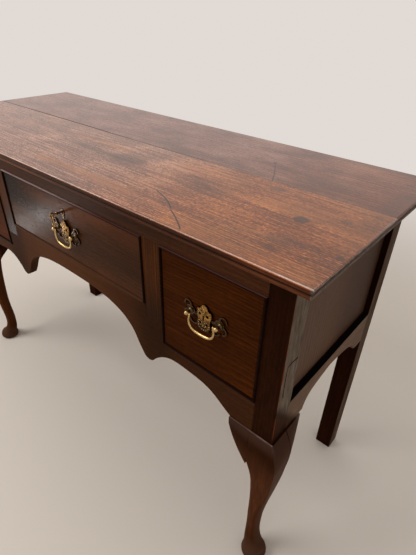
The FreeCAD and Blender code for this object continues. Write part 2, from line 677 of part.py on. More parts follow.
def key():
    """Pipe key with a small round eye."""
    inner_end = FACE_BACK - LOCK_PLATE - 1.0
    eye_y = FRONT - EYE_PROUD
    neck_y, shaft_y = eye_y + EYE_R, eye_y + EYE_R + 3.0

    def turned(radius, y0, y1):
        return Part.makeCylinder(radius, y1 - y0, V(0, y0, KEY_Z), V(0, 1, 0))

    eye = Part.makeTorus(EYE_R, EYE_ROD_R, V(0, eye_y, KEY_Z), V(1, 0, 0))
    neck = Part.makeCone(EYE_ROD_R, KEY_R, shaft_y - neck_y, V(0, neck_y, KEY_Z), V(0, 1, 0))
    collar = turned(KEY_R + 1.1, FRONT - 15.5, FRONT - 12.5)
    bit = block(-BIT_THICK / 2, BIT_THICK / 2, inner_end - 5, inner_end, KEY_Z - BIT_REACH, KEY_Z)
    solid = eye.fuse([neck, turned(KEY_R, shaft_y, inner_end), collar, bit])
    return solid.cut(turned(PIPE_R, inner_end - 10.0, inner_end))


def key_ring():
    y = FRONT - EYE_PROUD
    hang_z = KEY_Z - EYE_R + EYE_ROD_R + RING_WIRE_R + RING_CLEARANCE
    ring = Part.makeTorus(RING_R, RING_WIRE_R, V(0, y, hang_z - RING_R), V(0, 1, 0))
    ring.rotate(V(0, y, 0), V(0, 0, 1), RING_TURN)
    return ring


# The whole piece ------------------------------------------------------------------
DRAWERS = {
    # name: opening x0, x1, z0, z1, dovetails, middle of the handle x, z
    "left_drawer": (-POST_IN, -MUNTIN_OUT, SIDE_OPENING_LOW, OPENING_TOP, 4, -400.3, 603.6),
    "centre_drawer": (-MUNTIN_IN, MUNTIN_IN, CENTRE_OPENING_LOW, OPENING_TOP, 3, 3.6, 624.0),
    "right_drawer": (MUNTIN_OUT, POST_IN, SIDE_OPENING_LOW, OPENING_TOP, 4, 400.3, 603.6),
}


def carcass():
    nodes = {}
    nodes["top_front_board"], nodes["top_back_board"] = top_boards()
    rail, apron, post_board = front_top_rail(), front_apron(), muntin()
    muntins = {"right_muntin": post_board, "left_muntin": mirrored(post_board)}
    low_rail, high_rail, panel = side_lower_rail(), side_upper_rail(), side_panel()
    upper_back, lower_back = back_board(596, Z_UNDER_TOP), back_board(BACK_LOW, 596)
    front_leg = cabriole_leg().cut([rail, apron, low_rail, high_rail, panel])
    back_leg = rear_leg().cut([low_rail, high_rail, panel, upper_back, lower_back])
    front_ear = knee_bracket(2, FRONT_BRACKET).cut(front_leg)
    side_ear = across_the_corner(knee_bracket(1, SIDE_BRACKET)).cut(front_leg)
    right_side = {"front_right_leg": front_leg, "back_right_leg": back_leg,
                  "front_right_knee_bracket": front_ear, "side_right_knee_bracket": side_ear,
                  "right_side_panel": panel, "right_side_lower_rail": low_rail.cut(panel),
                  "right_side_upper_rail": high_rail.cut(panel)}
    for name, shape in right_side.items():
        nodes[name] = shape
        nodes[name.replace("right", "left")] = mirrored(shape)
    nodes.update(muntins)
    nodes["front_top_rail"] = rail.cut(list(muntins.values()) + [bolt_mortise()])
    nodes["front_apron"] = apron.cut(list(muntins.values()))
    nodes["back_upper_board"], nodes["back_lower_board"] = upper_back, lower_back
    return nodes


def case_fittings():
    nodes = {}
    posts = [block(POST_IN, CASE_HALF, FRONT, FRONT + POST, 0, HEIGHT), rear_leg()]
    posts += [mirrored(shape) for shape in posts]
    runners, beads, stops = [], [], []
    for x0, x1, z0, z1, *_ in DRAWERS.values():
        for edge, way in ((x0 + BEAD + FACE_GAP, -1), (x1 - BEAD - FACE_GAP, 1)):
            at_side_frame = abs(edge) > 400
            reach = CASE_HALF - RAIL_THICK - abs(edge) if at_side_frame else 24.0
            runners.append(runner(edge, z0 + BEAD, way, reach).cut(posts))
            stops.append(stop_block(edge - way * 12.0, z0 + BEAD))
        beads += cock_beads(x0, x1, z0, z1)
    nodes["drawer_runners"] = group(runners)
    nodes["cock_beads"] = group([bead.cut(bolt_mortise()) for bead in beads])
    nodes["drawer_kickers"] = group([shape.cut(posts) for shape in kickers()])
    nodes["drawer_stops"] = group(stops)
    nodes["top_glue_blocks"] = glue_blocks()
    return nodes


def drawers():
    nodes = {}
    for name, (x0, x1, z0, z1, count, handle_x, handle_z) in DRAWERS.items():
        pieces = drawer_pieces(x0, x1, z0, z1, count)
        posts = handle_posts(handle_x, handle_z)
        pieces["front"] = pieces["front"].cut(posts)
        for piece, shape in pieces.items():
            nodes[name + "_" + piece] = shape
        prefix = name.replace("drawer", "handle")
        nodes[prefix + "_backplate"] = backplate(handle_x, handle_z)
        nodes[prefix + "_posts"] = group(posts)
        nodes[prefix + "_nuts"] = group(handle_nuts(handle_x, handle_z))
        nodes[prefix + "_bail"] = bail(handle_x, handle_z)
    return nodes


def fit_lock(nodes):
    """Let the lock into the centre drawer and add its pieces."""
    face = nodes["centre_drawer_front"]
    nodes["centre_drawer_front"] = face.cut([lock_envelope(), keyhole(FRONT - 1, FACE_BACK)])
    nodes.update({"escutcheon": escutcheon(), "lock_case": lock_case(), "lock_bolt": lock_bolt(),
                  "key": key(), "key_ring": key_ring()})


def build():
    nodes = {}
    nodes.update(carcass())
    nodes.update(case_fittings())
    nodes.update(drawers())
    fit_lock(nodes)
    return nodes


os.makedirs("parts", exist_ok=True)
for node, shape in build().items():
    shape.exportStep("parts/" + node + ".step")
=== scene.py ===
"""The look of the oak lowboy: waxed boards, dark case, worn brass. Metres, same frame as the CAD."""

import json
from math import pi, radians

import bmesh
import bpy
from mathutils import Matrix, Vector

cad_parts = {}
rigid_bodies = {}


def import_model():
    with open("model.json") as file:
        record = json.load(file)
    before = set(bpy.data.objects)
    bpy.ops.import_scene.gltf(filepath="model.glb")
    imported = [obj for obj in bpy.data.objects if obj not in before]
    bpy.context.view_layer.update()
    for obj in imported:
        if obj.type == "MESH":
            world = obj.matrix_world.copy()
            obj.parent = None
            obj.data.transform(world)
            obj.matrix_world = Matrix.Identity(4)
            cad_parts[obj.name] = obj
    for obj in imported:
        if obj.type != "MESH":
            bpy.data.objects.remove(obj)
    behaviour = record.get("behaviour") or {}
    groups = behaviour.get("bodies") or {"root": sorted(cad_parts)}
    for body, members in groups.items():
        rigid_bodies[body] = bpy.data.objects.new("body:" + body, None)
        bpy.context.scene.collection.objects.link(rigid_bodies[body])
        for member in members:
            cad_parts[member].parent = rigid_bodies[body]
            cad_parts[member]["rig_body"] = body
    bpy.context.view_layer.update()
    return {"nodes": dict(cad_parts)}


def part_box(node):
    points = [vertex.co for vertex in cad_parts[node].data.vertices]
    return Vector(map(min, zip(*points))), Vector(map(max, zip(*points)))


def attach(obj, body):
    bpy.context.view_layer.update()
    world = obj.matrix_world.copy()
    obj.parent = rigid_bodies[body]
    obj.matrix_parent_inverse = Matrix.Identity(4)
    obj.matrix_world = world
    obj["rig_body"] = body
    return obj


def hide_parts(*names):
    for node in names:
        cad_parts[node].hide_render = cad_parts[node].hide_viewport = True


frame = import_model()
MM = 0.001


# ------------------------------------------------------------------ front legs
# Each front leg is one length of oak: a square post above, sawn and rasped below into a
# cabriole leg with a sharp arris, a round ankle and a turned pad foot. The grain is upright.
# The arrises of every board are eased with a plane, then the wood is stained and waxed.
EASED = 0.7 * MM
SHARP_TURN = radians(32)
FLAT_TURN = radians(0.4)
SMOOTH_TURN = radians(38)
BROAD_FACE = 8e-4               # square metres; a face this large is shaded flat

GRAIN_TURNS = {"X": (0, 0, 0), "Y": (0, 0, radians(-90)), "Z": (0, radians(90), 0)}
PORE_SHADE = 0.35               # a pore has this share of the colour round it
PORE_ROUGH = 0.12
RELIEF_DEPTH = 1.2 * MM
PLANE_WAVES = 1.2               # how strongly the waves left by the plane stand out, and the grain
GRAIN_DEPTH = 0.16

POST_BROWN = (0.0165, 0.0045, 0.0010)
LEG_BROWN = (0.070, 0.0215, 0.0065)
DRY_SIDE = [(0.34, (0.090, 0.064, 0.047)), (0.50, (0.166, 0.130, 0.098)), (0.66, (0.260, 0.208, 0.166))]
# the dry part of the side ends along a slanting line: its height at the front, its fall, its blur
DRY_LOW = 0.500
DRY_FALL = 1.15
DRY_BLUR = 16.0 * MM
POST_FOOT = (0.030, 0.0095, 0.0022, 1)
# painted grey sheen on the outer sides of the leg and the front under the knee, and the grey of the foot
KNEE_GREY = (0.105, 0.055, 0.037, 1)
# painted highlight on the upward faces of the knee ledge
KNEE_LEDGE_HIGHLIGHT = (0.200, 0.1300, 0.1150, 1)
ARRIS_RED = (0.125, 0.026, 0.008, 1)
CRACK_BLACK = (0.008, 0.004, 0.003, 1)
# cracks on the outer side: start and end (y, z), where the middle bows out to, and width, in mm
CRACKS = [((-143, 588), (-175, 586), (0, 0, 1.5), 3.2), ((-175, 587), (-168, 515), (0, -2.5, 0), 2.8)]


def put(tree, kind, inputs=None, **settings):
    """Adds one shader node; inputs are values or sockets."""
    made = tree.nodes.new("ShaderNode" + kind)
    for key, value in settings.items():
        setattr(made, key, value)
    for key, value in (inputs or {}).items():
        if isinstance(value, bpy.types.NodeSocket):
            tree.links.new(value, made.inputs[key])
        else:
            made.inputs[key].default_value = value
    return made


def maths(tree, operation, a, b=0.0):
    return put(tree, "Math", {0: a, 1: b}, operation=operation).outputs[0]


def times(tree, product, *others):
    """The product of several values."""
    for other in others:
        product = maths(tree, "MULTIPLY", product, other)
    return product


def plus(tree, total, *others):
    """The sum of several values."""
    for other in others:
        total = maths(tree, "ADD", total, other)
    return total


def minus(tree, a, b):
    return maths(tree, "SUBTRACT", a, b)


def ramp(tree, amount, stops):
    """A colour ramp from (position, colour) stops."""
    made = put(tree, "ValToRGB", {0: amount})
    bands = made.color_ramp.elements
    while len(bands) < len(stops):
        bands.new(0.5)
    for band, (position, colour) in zip(bands, stops):
        band.position = position
        band.color = (*colour[:3], 1)
    return made.outputs["Color"]


def tones(base, spread, pale=None):
    """Ramp stops for one stained wood: its dark streaks, its main colour and its pale streaks."""
    return [(0.2, [c / spread for c in base]), (0.5, base), (0.8, pale or [c * spread for c in base])]


def between(tree, value, low, high, out_low=0.0, out_high=1.0):
    """Maps low..high to out_low..out_high, smoothly, and holds it there beyond."""
    made = put(tree, "MapRange", {"Value": value, "From Min": low, "From Max": high,
                                  "To Min": out_low, "To Max": out_high}, interpolation_type="SMOOTHSTEP")
    return made.outputs["Result"]


def blended(tree, amount, a, b, how="MIX"):
    made = put(tree, "Mix", {0: amount, 6: a, 7: b}, data_type="RGBA", blend_type=how)
    return made.outputs[2]


def noise(tree, where, stretch, scale=1.0, detail=3.0, rough=0.55, warp=0.0):
    """Noise drawn out by stretch, which is the number of features per metre each way."""
    spread = put(tree, "VectorMath", {0: where, 1: stretch}, operation="MULTIPLY").outputs[0]
    made = put(tree, "TexNoise", {"Vector": spread, "Scale": scale, "Detail": detail,
                                  "Roughness": rough, "Distortion": warp})
    return made.outputs["Fac"]


def swing(tree, value, weight):
    """A 0..1 value as a swing of that weight about nought."""
    return times(tree, minus(tree, value, 0.5), weight)


def axis_of(tree, place, axis):
    return put(tree, "SeparateXYZ", {0: place}).outputs[axis]


def size_of(tree, value):
    return maths(tree, "ABSOLUTE", value)


def apart(tree, a, b):
    """How far one value is from another, whichever is larger."""
    return size_of(tree, minus(tree, a, b))


def new_finish(name):
    finish = bpy.data.materials.new(name)
    finish.use_nodes = True
    tree = finish.node_tree
    tree.nodes.clear()
    shader = put(tree, "BsdfPrincipled")
    out = put(tree, "OutputMaterial")
    tree.links.new(shader.outputs[0], out.inputs[0])
    place = put(tree, "TexCoord").outputs["Object"]
    return finish, tree, shader, place


def oak(name, grain, base, spread=1.8, pale=None, heart=(0.11, 0.13), ring=0.006, figure=0.15, streak=0.8,
        fleck=0.5, flecks_at=(95.0, 420.0, 420.0), cloud=0.6, patches=(2.2, 9.0, 9.0), pores=0.35,
        pores_at=(70.0, 900.0, 900.0), rough=(0.40, 0.55), gloss=0.02, lean=0.0,
        relief=0.25, extra=None):
    """Oak with its grain along one axis: faint year rings, streaks, flecks, pores and cloudy stain.

    heart is the place of the heart of the tree across the grain and ring the width of a year
    ring. figure, streak, fleck and cloud weigh the pattern, and extra may change the colour
    and roughness before they reach the shader.
    """
    finish, tree, shader, place = new_finish(name)
    turned = put(tree, "Mapping", {"Vector": place, "Rotation": GRAIN_TURNS[grain]}).outputs[0]
    along = put(tree, "Mapping", {"Vector": turned, "Location": (0.37, heart[0], heart[1]),
                                  "Rotation": (0, radians(lean), radians(lean * 0.6))}).outputs[0]
    drift = noise(tree, along, (1.6, 7.0, 7.0), detail=2.0)
    shifted = put(tree, "VectorMath", {0: (0.0, 0.030, 0.022), 1: drift}, operation="MULTIPLY").outputs[0]
    wavy = put(tree, "VectorMath", {0: along, 1: shifted}, operation="ADD").outputs[0]
    slow = put(tree, "VectorMath", {0: wavy, 1: (0.12, 1.0, 1.0)}, operation="MULTIPLY").outputs[0]
    rings = put(tree, "TexWave", {"Vector": slow, "Scale": 0.314 / ring, "Distortion": 4.0, "Detail": 4.0,
                                  "Detail Scale": 5.0, "Detail Roughness": 0.65},
                wave_type="RINGS", rings_direction="X", wave_profile="SIN").outputs["Fac"]
    streaks = noise(tree, wavy, (5.0, 230.0, 230.0), detail=4.0, rough=0.62)
    flecks = noise(tree, wavy, flecks_at, detail=2.0, rough=0.6)
    clouds = noise(tree, along, patches, detail=3.0, rough=0.5, warp=0.3)
    pore = between(tree, noise(tree, wavy, pores_at, detail=2.0), 0.56, 0.68)

    level = plus(tree, swing(tree, rings, figure), swing(tree, streaks, streak), swing(tree, flecks, fleck),
                 swing(tree, clouds, cloud), 0.5)
    colour = ramp(tree, level, tones(base, spread, pale))
    dark = put(tree, "VectorMath", {0: colour, "Scale": PORE_SHADE}, operation="SCALE").outputs[0]
    colour = blended(tree, times(tree, pore, pores), colour, dark)
    dull = between(tree, plus(tree, clouds, times(tree, streaks, 0.4)), 0.45, 0.95, *rough)
    dull = plus(tree, dull, times(tree, pore, PORE_ROUGH))
    if extra:
        colour, dull = extra(tree, place, colour, dull)
    tree.links.new(colour, shader.inputs["Base Color"])
    tree.links.new(dull, shader.inputs["Roughness"])
    shader.inputs["Specular IOR Level"].default_value = gloss

    planed = noise(tree, along, (3.0, 14.0, 14.0), detail=1.0)
    height = plus(tree, times(tree, planed, PLANE_WAVES), times(tree, streaks, GRAIN_DEPTH))
    height = minus(tree, height, times(tree, pore, GRAIN_DEPTH))
    bump = put(tree, "Bump", {"Height": height, "Strength": relief, "Distance": RELIEF_DEPTH}).outputs[0]
    tree.links.new(bump, shader.inputs["Normal"])
    return finish


def finished(node, material, eased=EASED, rim=None, segments=2, add=None):
    """The piece with its arrises eased: a merged copy of its solid, bevelled, in its finish.

    rim is the finish of the eased arrises themselves, where they are rubbed bright, and of
    the relief that add puts on the piece.
    """
    source = frame["nodes"][node]
    mesh = source.data.copy()
    mesh.materials.clear()
    mesh.materials.append(material)
    bm = bmesh.new()
    bm.from_mesh(mesh)
    bmesh.ops.remove_doubles(bm, verts=bm.verts, dist=0.01 * MM)
    bmesh.ops.dissolve_limit(bm, angle_limit=FLAT_TURN, verts=bm.verts, edges=bm.edges)
    for face in bm.faces:
        face.smooth = True
        face.material_index = 0
    arrises = [e for e in bm.edges if len(e.link_faces) == 2 and e.calc_face_angle(0) > SHARP_TURN]
    rubbed = []
    if eased:
        rubbed = bmesh.ops.bevel(bm, geom=arrises, offset=eased, offset_type="OFFSET", segments=segments,
                                 profile=0.5, affect="EDGES", material=-1, clamp_overlap=True)["faces"]
    if add:
        rubbed += add(bm)
    if rim:
        mesh.materials.append(rim)
    for face in rubbed:
        face.smooth = True
        face.material_index = 1 if rim else 0
    for edge in bm.edges:
        turn = edge.calc_face_angle(0) if len(edge.link_faces) == 2 else pi
        broad = any(face.calc_area() > BROAD_FACE for face in edge.link_faces)
        edge.smooth = turn < SMOOTH_TURN and not (broad and turn > FLAT_TURN)
    bm.to_mesh(mesh)
    bm.free()
    piece = bpy.data.objects.new(node + "_finished", mesh)
    bpy.context.scene.collection.objects.link(piece)
    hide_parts(node)
    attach(piece, source["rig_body"])
    return piece


def dressed(node, material):
    """Gives a CAD piece its finish without touching its shape."""
    for holder in frame["nodes"][node].material_slots:
        holder.material = material


def line_mark(tree, place, start, end, bow, width):
    """A mark along a shallow arc between two points, in mm: 1 on the line, 0 off it.

    bow is a vector in mm, square to the line between the points, from the middle of that line
    to the middle of the arc.
    """
    a, b, bow = Vector(start) * MM, Vector(end) * MM, Vector(bow) * MM
    chord, middle = b - a, (a + b) / 2
    radius = (chord.length ** 2 / 4 + bow.length ** 2) / (2 * bow.length)
    hub = middle - bow.normalized() * (radius - bow.length)
    reach = put(tree, "VectorMath", {0: place, 1: hub}, operation="DISTANCE").outputs["Value"]
    off = apart(tree, reach, radius)
    line = between(tree, off, 0.25 * width * MM, 0.75 * width * MM, 1.0, 0.0)
    span = put(tree, "VectorMath", {0: place, 1: middle}, operation="DISTANCE").outputs["Value"]
    return times(tree, line, between(tree, span, 0.42 * chord.length, 0.52 * chord.length, 1.0, 0.0))


POST_FACE_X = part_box("right_side_lower_rail")[1].x
POST_FACE_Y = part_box("front_apron")[0].y
KNEE_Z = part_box("front_right_knee_bracket")[1].z
POST_SQUARE = 43.0 * MM
POST_BACK_Y = POST_FACE_Y + POST_SQUARE


def above_damp(tree, place):
    """1 on the dry upper part of a side, 0 on its dark foot by the front leg."""
    behind = minus(tree, axis_of(tree, place, "Y"), POST_FACE_Y)
    line = put(tree, "Math", {0: behind, 1: -DRY_FALL, 2: DRY_LOW}, operation="MULTIPLY_ADD").outputs[0]
    return between(tree, minus(tree, axis_of(tree, place, "Z"), line), -DRY_BLUR, DRY_BLUR)


def leg_wear_and_light(tree, place, colour, dull):
    """Wear, dirt and painted light of a front leg and its brackets.

    The leg is lighter below the knee. Its outer sides below the knee and its front just under the
    knee are painted grey as a sheen, the foot is grey, and the ledge at the knee top has a painted
    highlight on its upper faces. A dark seam runs down behind the side bracket.
    The outer side of the post is dry above a dark foot, and its front arris is rubbed red.
    """
    x = size_of(tree, axis_of(tree, place, "X"))
    y = axis_of(tree, place, "Y")
    z = axis_of(tree, place, "Z")
    facing = put(tree, "NewGeometry").outputs["Normal"]
    in_front = between(tree, y, POST_FACE_Y - 0.6 * MM, POST_FACE_Y, 1.0, 0.0)
    on_side = between(tree, x, POST_FACE_X - 0.9 * MM, POST_FACE_X - 0.2 * MM)
    above_knee = between(tree, z, KNEE_Z + 2 * MM, KNEE_Z + 36 * MM)

    handled = times(tree, between(tree, z, KNEE_Z - 0.13, KNEE_Z + 0.01, 1.0, 0.0),
                    between(tree, z, 0.02, 0.11, 0.45, 1.0))
    grain = noise(tree, place, (230.0, 230.0, 8.0), detail=4.0, rough=0.6)
    colour = blended(tree, handled, colour, ramp(tree, grain, tones(LEG_BROWN, 1.6)))
    # painted sheen: the outward sides below the knee are greyed, and the foot is grey too
    outward = times(tree, axis_of(tree, facing, "X"), axis_of(tree, place, "X"))
    sheen_and_grey_foot = times(tree, between(tree, outward, 0.24, 0.50),
                  between(tree, z, KNEE_Z - 2 * MM, KNEE_Z, 0.42, 0.0))
    sheen_and_grey_foot = maths(tree, "MAXIMUM", sheen_and_grey_foot, between(tree, z, 0.022, 0.060, 0.40, 0.0))
    colour = blended(tree, sheen_and_grey_foot, colour, KNEE_GREY)
    # painted sheen: the front just under the knee is greyed
    under = times(tree, between(tree, z, KNEE_Z - 30 * MM, KNEE_Z - 4 * MM, 0.0, 0.32), in_front)
    colour = blended(tree, under, colour, KNEE_GREY)
    # painted highlight on the upward faces of the knee ledge, at the front
    ledge = times(tree, between(tree, axis_of(tree, facing, "Z"), 0.35, 0.80),
                  between(tree, z, KNEE_Z - 14 * MM, KNEE_Z - 8 * MM),
                  between(tree, z, KNEE_Z + 4 * MM, KNEE_Z + 9 * MM, 1.0, 0.0), in_front,
                  between(tree, noise(tree, place, (35.0, 35.0, 35.0)), 0.35, 0.60, 0.45, 0.95))
    colour = blended(tree, ledge, colour, KNEE_LEDGE_HIGHLIGHT)
    seam = times(tree, between(tree, apart(tree, y, POST_BACK_Y), 0.5 * MM, 1.6 * MM, 0.8, 0.0),
                 between(tree, z, KNEE_Z - 1 * MM, KNEE_Z, 1.0, 0.0))
    colour = blended(tree, seam, colour, CRACK_BLACK)

    dry = times(tree, on_side, above_damp(tree, place))
    mottle = plus(tree, times(tree, noise(tree, place, (110.0, 110.0, 26.0), detail=5.0), 0.6),
                  times(tree, noise(tree, place, (420.0, 420.0, 20.0), detail=3.0), 0.4))
    colour = blended(tree, times(tree, on_side, above_knee), colour, POST_FOOT)
    colour = blended(tree, times(tree, dry, 0.95), colour, ramp(tree, mottle, DRY_SIDE))
    arris = plus(tree, between(tree, x, POST_FACE_X - 1.8 * MM, POST_FACE_X - 0.3 * MM),
                 between(tree, y, POST_FACE_Y + 0.3 * MM, POST_FACE_Y + 1.6 * MM, 1.0, 0.0))
    patchy = between(tree, noise(tree, place, (60.0, 60.0, 24.0), detail=3.0), 0.38, 0.58, 0.10, 0.9)
    rubbed = times(tree, between(tree, arris, 0.9, 1.6), above_knee,
                   between(tree, z, 0.57, 0.66, 1.0, 0.35), patchy)
    colour = blended(tree, rubbed, colour, ARRIS_RED)
    return colour, plus(tree, dull, times(tree, dry, 0.12))


def cracked_post(tree, place, colour, dull):
    """The right post has a drying crack round a small knot on its outer side."""
    colour, dull = leg_wear_and_light(tree, place, colour, dull)
    side = POST_FACE_X / MM
    jagged = noise(tree, place, (90.0, 90.0, 90.0), detail=2.0)
    shove = put(tree, "VectorMath", {0: (0.0, 0.006, 0.002), 1: jagged}, operation="MULTIPLY").outputs[0]
    crooked = put(tree, "VectorMath", {0: place, 1: shove}, operation="ADD").outputs[0]
    for start, end, bow, width in CRACKS:
        crack = line_mark(tree, crooked, (side, *start), (side, *end), bow, width)
        colour = blended(tree, crack, colour, CRACK_BLACK)
    return colour, dull


post_oak = oak("post_oak", "Z", POST_BROWN, spread=1.6, heart=(0.62, 0.16), ring=0.0045, gloss=0.012,
               extra=leg_wear_and_light)
cracked_oak = oak("cracked_post_oak", "Z", POST_BROWN, spread=1.6, heart=(0.62, 0.16), ring=0.0045,
                  gloss=0.012, extra=cracked_post)
for side, wood in (("left", post_oak), ("right", cracked_oak)):
    finished(f"front_{side}_leg", wood, eased=0.6 * MM)
    for face in ("front", "side"):
        finished(f"{face}_{side}_knee_bracket", post_oak, eased=0.5 * MM)


# ------------------------------------------------------------------ rear legs
# The rear legs are straight squares of oak, tenoned and grooved as the posts are. They
# stand against a wall and keep a rougher, darker surface.
REAR_BROWN = (0.016, 0.0042, 0.0016)
REAR_SIDE = [(0.32, (0.050, 0.030, 0.020)), (0.50, (0.090, 0.055, 0.036)), (0.68, (0.150, 0.098, 0.066))]


def rear_wear(tree, place, colour, dull):
    """The outer side of a rear leg is dry and grey, as the sides of the case are."""
    x = size_of(tree, axis_of(tree, place, "X"))
    on_side = between(tree, x, POST_FACE_X - 0.9 * MM, POST_FACE_X - 0.2 * MM)
    dry = ramp(tree, noise(tree, place, (220.0, 220.0, 14.0), detail=4.0), REAR_SIDE)
    return blended(tree, times(tree, on_side, 0.9), colour, dry), dull


rear_oak = oak("rear_leg_oak", "Z", REAR_BROWN, heart=(0.55, 0.12), ring=0.005, gloss=0.008,
               rough=(0.5, 0.65), extra=rear_wear)
for side in ("left", "right"):
    finished(f"back_{side}_leg", rear_oak, eased=0.8 * MM)


# ------------------------------------------------------------------ front frame
# Top rail, shaped apron and two muntins are sawn from one-inch oak and tenoned together.
# The rail and the apron run across; the muntins stand upright between them.
RAIL_BROWN = (0.052, 0.0170, 0.0056)
APRON_BROWN = (0.044, 0.0150, 0.0050)
APRON_PALE = (0.085, 0.0310, 0.0115)
MUNTIN_BROWN = (0.054, 0.0160, 0.0036)
# black of dirt on the apron and muntins, and of the painted shade on the centre drawer front
DIRT_AND_SHADE_BLACK = (0.004, 0.002, 0.001, 1)
MUNTIN_X = sum(corner.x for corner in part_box("right_muntin")) / 2


def apron_wear(tree, place, colour, dull):
    """The middle of the apron is rubbed paler than its ends, and it is darker under the muntins."""
    x = axis_of(tree, place, "X")
    middle = times(tree, between(tree, x, -0.30, -0.10), between(tree, x, 0.02, 0.25, 1.0, 0.0))
    grain = ramp(tree, noise(tree, place, (6.0, 60.0, 230.0), detail=4.0), tones(APRON_PALE, 1.5))
    colour = blended(tree, times(tree, middle, 0.7), colour, grain)
    from_muntin = apart(tree, size_of(tree, x), MUNTIN_X)
    return blended(tree, between(tree, from_muntin, 0.015, 0.070, 0.40, 0.0), colour, DIRT_AND_SHADE_BLACK), dull


def muntin_dirt(tree, place, colour, dull):
    """The lower end of a muntin is darker, where nobody wipes it."""
    low = between(tree, axis_of(tree, place, "Z"), 0.53, 0.64, 0.60, 0.0)
    return blended(tree, low, colour, DIRT_AND_SHADE_BLACK), dull


rail_oak = oak("top_rail_oak", "X", RAIL_BROWN, spread=1.6, heart=(0.23, -0.62), ring=0.0055, gloss=0.03,
               rough=(0.30, 0.42), lean=0.8)
apron_oak = oak("apron_oak", "X", APRON_BROWN, spread=1.6, heart=(0.25, -0.70), ring=0.0055, gloss=0.012,
                lean=0.8, extra=apron_wear)
muntin_oak = oak("muntin_oak", "Z", MUNTIN_BROWN, spread=1.6, heart=(0.30, 0.10), ring=0.005, figure=0.2,
                 gloss=0.018, rough=(0.22, 0.32), extra=muntin_dirt)
finished("front_top_rail", rail_oak)
finished("front_apron", apron_oak)
finished("left_muntin", muntin_oak, eased=0.3 * MM)
finished("right_muntin", muntin_oak, eased=0.3 * MM)

# Cock beads: thin oak strips with a half-round nose, mitred and glued into each opening.
# The top ones carry a painted highlight on their upper side, pale at the left and dim to the right,
# the others a dim painted highlight on their downward side, and the rest is black with wax.
BEAD_BROWN = (0.012, 0.0045, 0.0026)
# painted highlights of the beads: pale, and dim
BEAD_HIGHLIGHT = (0.360, 0.2600, 0.2450, 1)
BEAD_DIM_HIGHLIGHT = (0.085, 0.0350, 0.0290, 1)
BEAD_RED = (0.075, 0.0330, 0.0170, 1)


def bead_highlights_and_red(tree, place, colour, dull):
    """A painted highlight on the upper side of the top beads, brightest at the left, a dim one on the low
    sides, and the centre's low bead red.
    """
    x = axis_of(tree, place, "X")
    z = axis_of(tree, place, "Z")
    up = axis_of(tree, put(tree, "NewGeometry").outputs["Normal"], "Z")
    top = between(tree, z, BEADS_TOP - 8 * MM, BEADS_TOP - 6 * MM)
    highlight_colour = blended(tree, between(tree, x, -0.06, 0.16), BEAD_HIGHLIGHT, BEAD_DIM_HIGHLIGHT)
    # painted highlight on the upper side of the top beads
    colour = blended(tree, times(tree, between(tree, up, 0.10, 0.55), top), colour, highlight_colour)
    # a dim painted highlight on the downward side of the other beads
    low = times(tree, between(tree, up, -0.55, -0.15, 0.8, 0.0), minus(tree, 1.0, top))
    colour = blended(tree, low, colour, BEAD_DIM_HIGHLIGHT)
    centre = times(tree, between(tree, size_of(tree, x), 0.24, 0.243, 0.8, 0.0),
                   between(tree, z, 0.560, 0.562, 1.0, 0.0))
    return blended(tree, centre, colour, BEAD_RED), dull


BEADS_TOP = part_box("cock_beads")[1].z
bead_oak = oak("bead_oak", "X", BEAD_BROWN, ring=0.004, pores=0.2, gloss=0.008, rough=(0.24, 0.34),
               relief=0.1, extra=bead_highlights_and_red)
finished("cock_beads", bead_oak, eased=0.15 * MM)


# ------------------------------------------------------------------ side frames
# Each side is a frame round one flat panel, which is let into grooves and stands 12 mm
# back. The lower rail is shaped below. The ledges and the corners round the panel are painted black as
# shade.
SIDE_GREY = (0.150, 0.094, 0.064)
PANEL_BROWN = (0.094, 0.0480, 0.0285)
# black of the painted shade on the ledges and in the corners of the panels
LEDGE_SHADE_BLACK = (0.0025, 0.0012, 0.0010, 1)
# how far the painted shade reaches from the corners of the panel
SHADE_REACH = 6.0 * MM
FOOT_BROWN = (0.040, 0.0160, 0.0065, 1)
# painted sheen and shade on the panel: place from its front to its back, and share of its colour
PANEL_SHEEN_AND_SHADE = [(0.0, (1.50, 1.62, 1.75)), (0.22, (1.38, 1.45, 1.52)), (0.38, (1.22, 1.24, 1.26)),
              (0.50, (1.05, 1.04, 1.02)), (0.62, (0.86, 0.84, 0.80)), (0.76, (0.72, 0.68, 0.62)),
              (1.0, (0.62, 0.58, 0.52))]


def tinted(tree, colour, tint, amount=1.0):
    """A colour multiplied by another."""
    return blended(tree, amount, colour, tint, "MULTIPLY")


def ledge_shade_and_foot(tree, place, colour, dull):
    """A side rail: painted shade, black, on the ledge under the panel, and a dark foot by the front leg."""
    above = apart(tree, axis_of(tree, place, "Z"), RAIL_LEDGE_Z)
    # painted shade: the ledge under the panel is blackened
    dirt = between(tree, above, 0.3 * MM, 1.2 * MM, 1.0, 0.0)
    colour = blended(tree, dirt, colour, LEDGE_SHADE_BLACK)
    colour = blended(tree, above_damp(tree, place), FOOT_BROWN, colour)
    return colour, plus(tree, dull, times(tree, dirt, 0.3))


def panel_sheen_and_shade(tree, place, colour, dull):
    """Painted light on the panel: a greyer sheen towards its front and shade towards its back, and painted
    shade in the corners of its frame.
    """
    y = axis_of(tree, place, "Y")
    z = axis_of(tree, place, "Z")
    # painted sheen towards the front of the panel and shade towards its back
    colour = tinted(tree, colour, ramp(tree, between(tree, y, POST_BACK_Y, REAR_STILE_Y), PANEL_SHEEN_AND_SHADE))
    # painted shade along the foot of the panel and by the rear stile
    low = between(tree, z, RAIL_LEDGE_Z, RAIL_LEDGE_Z + SHADE_REACH, 1.0, 0.0)
    back = between(tree, y, REAR_STILE_Y - SHADE_REACH, REAR_STILE_Y)
    dirt = times(tree, maths(tree, "MAXIMUM", low, back), 0.9)
    return blended(tree, dirt, colour, LEDGE_SHADE_BLACK), dull


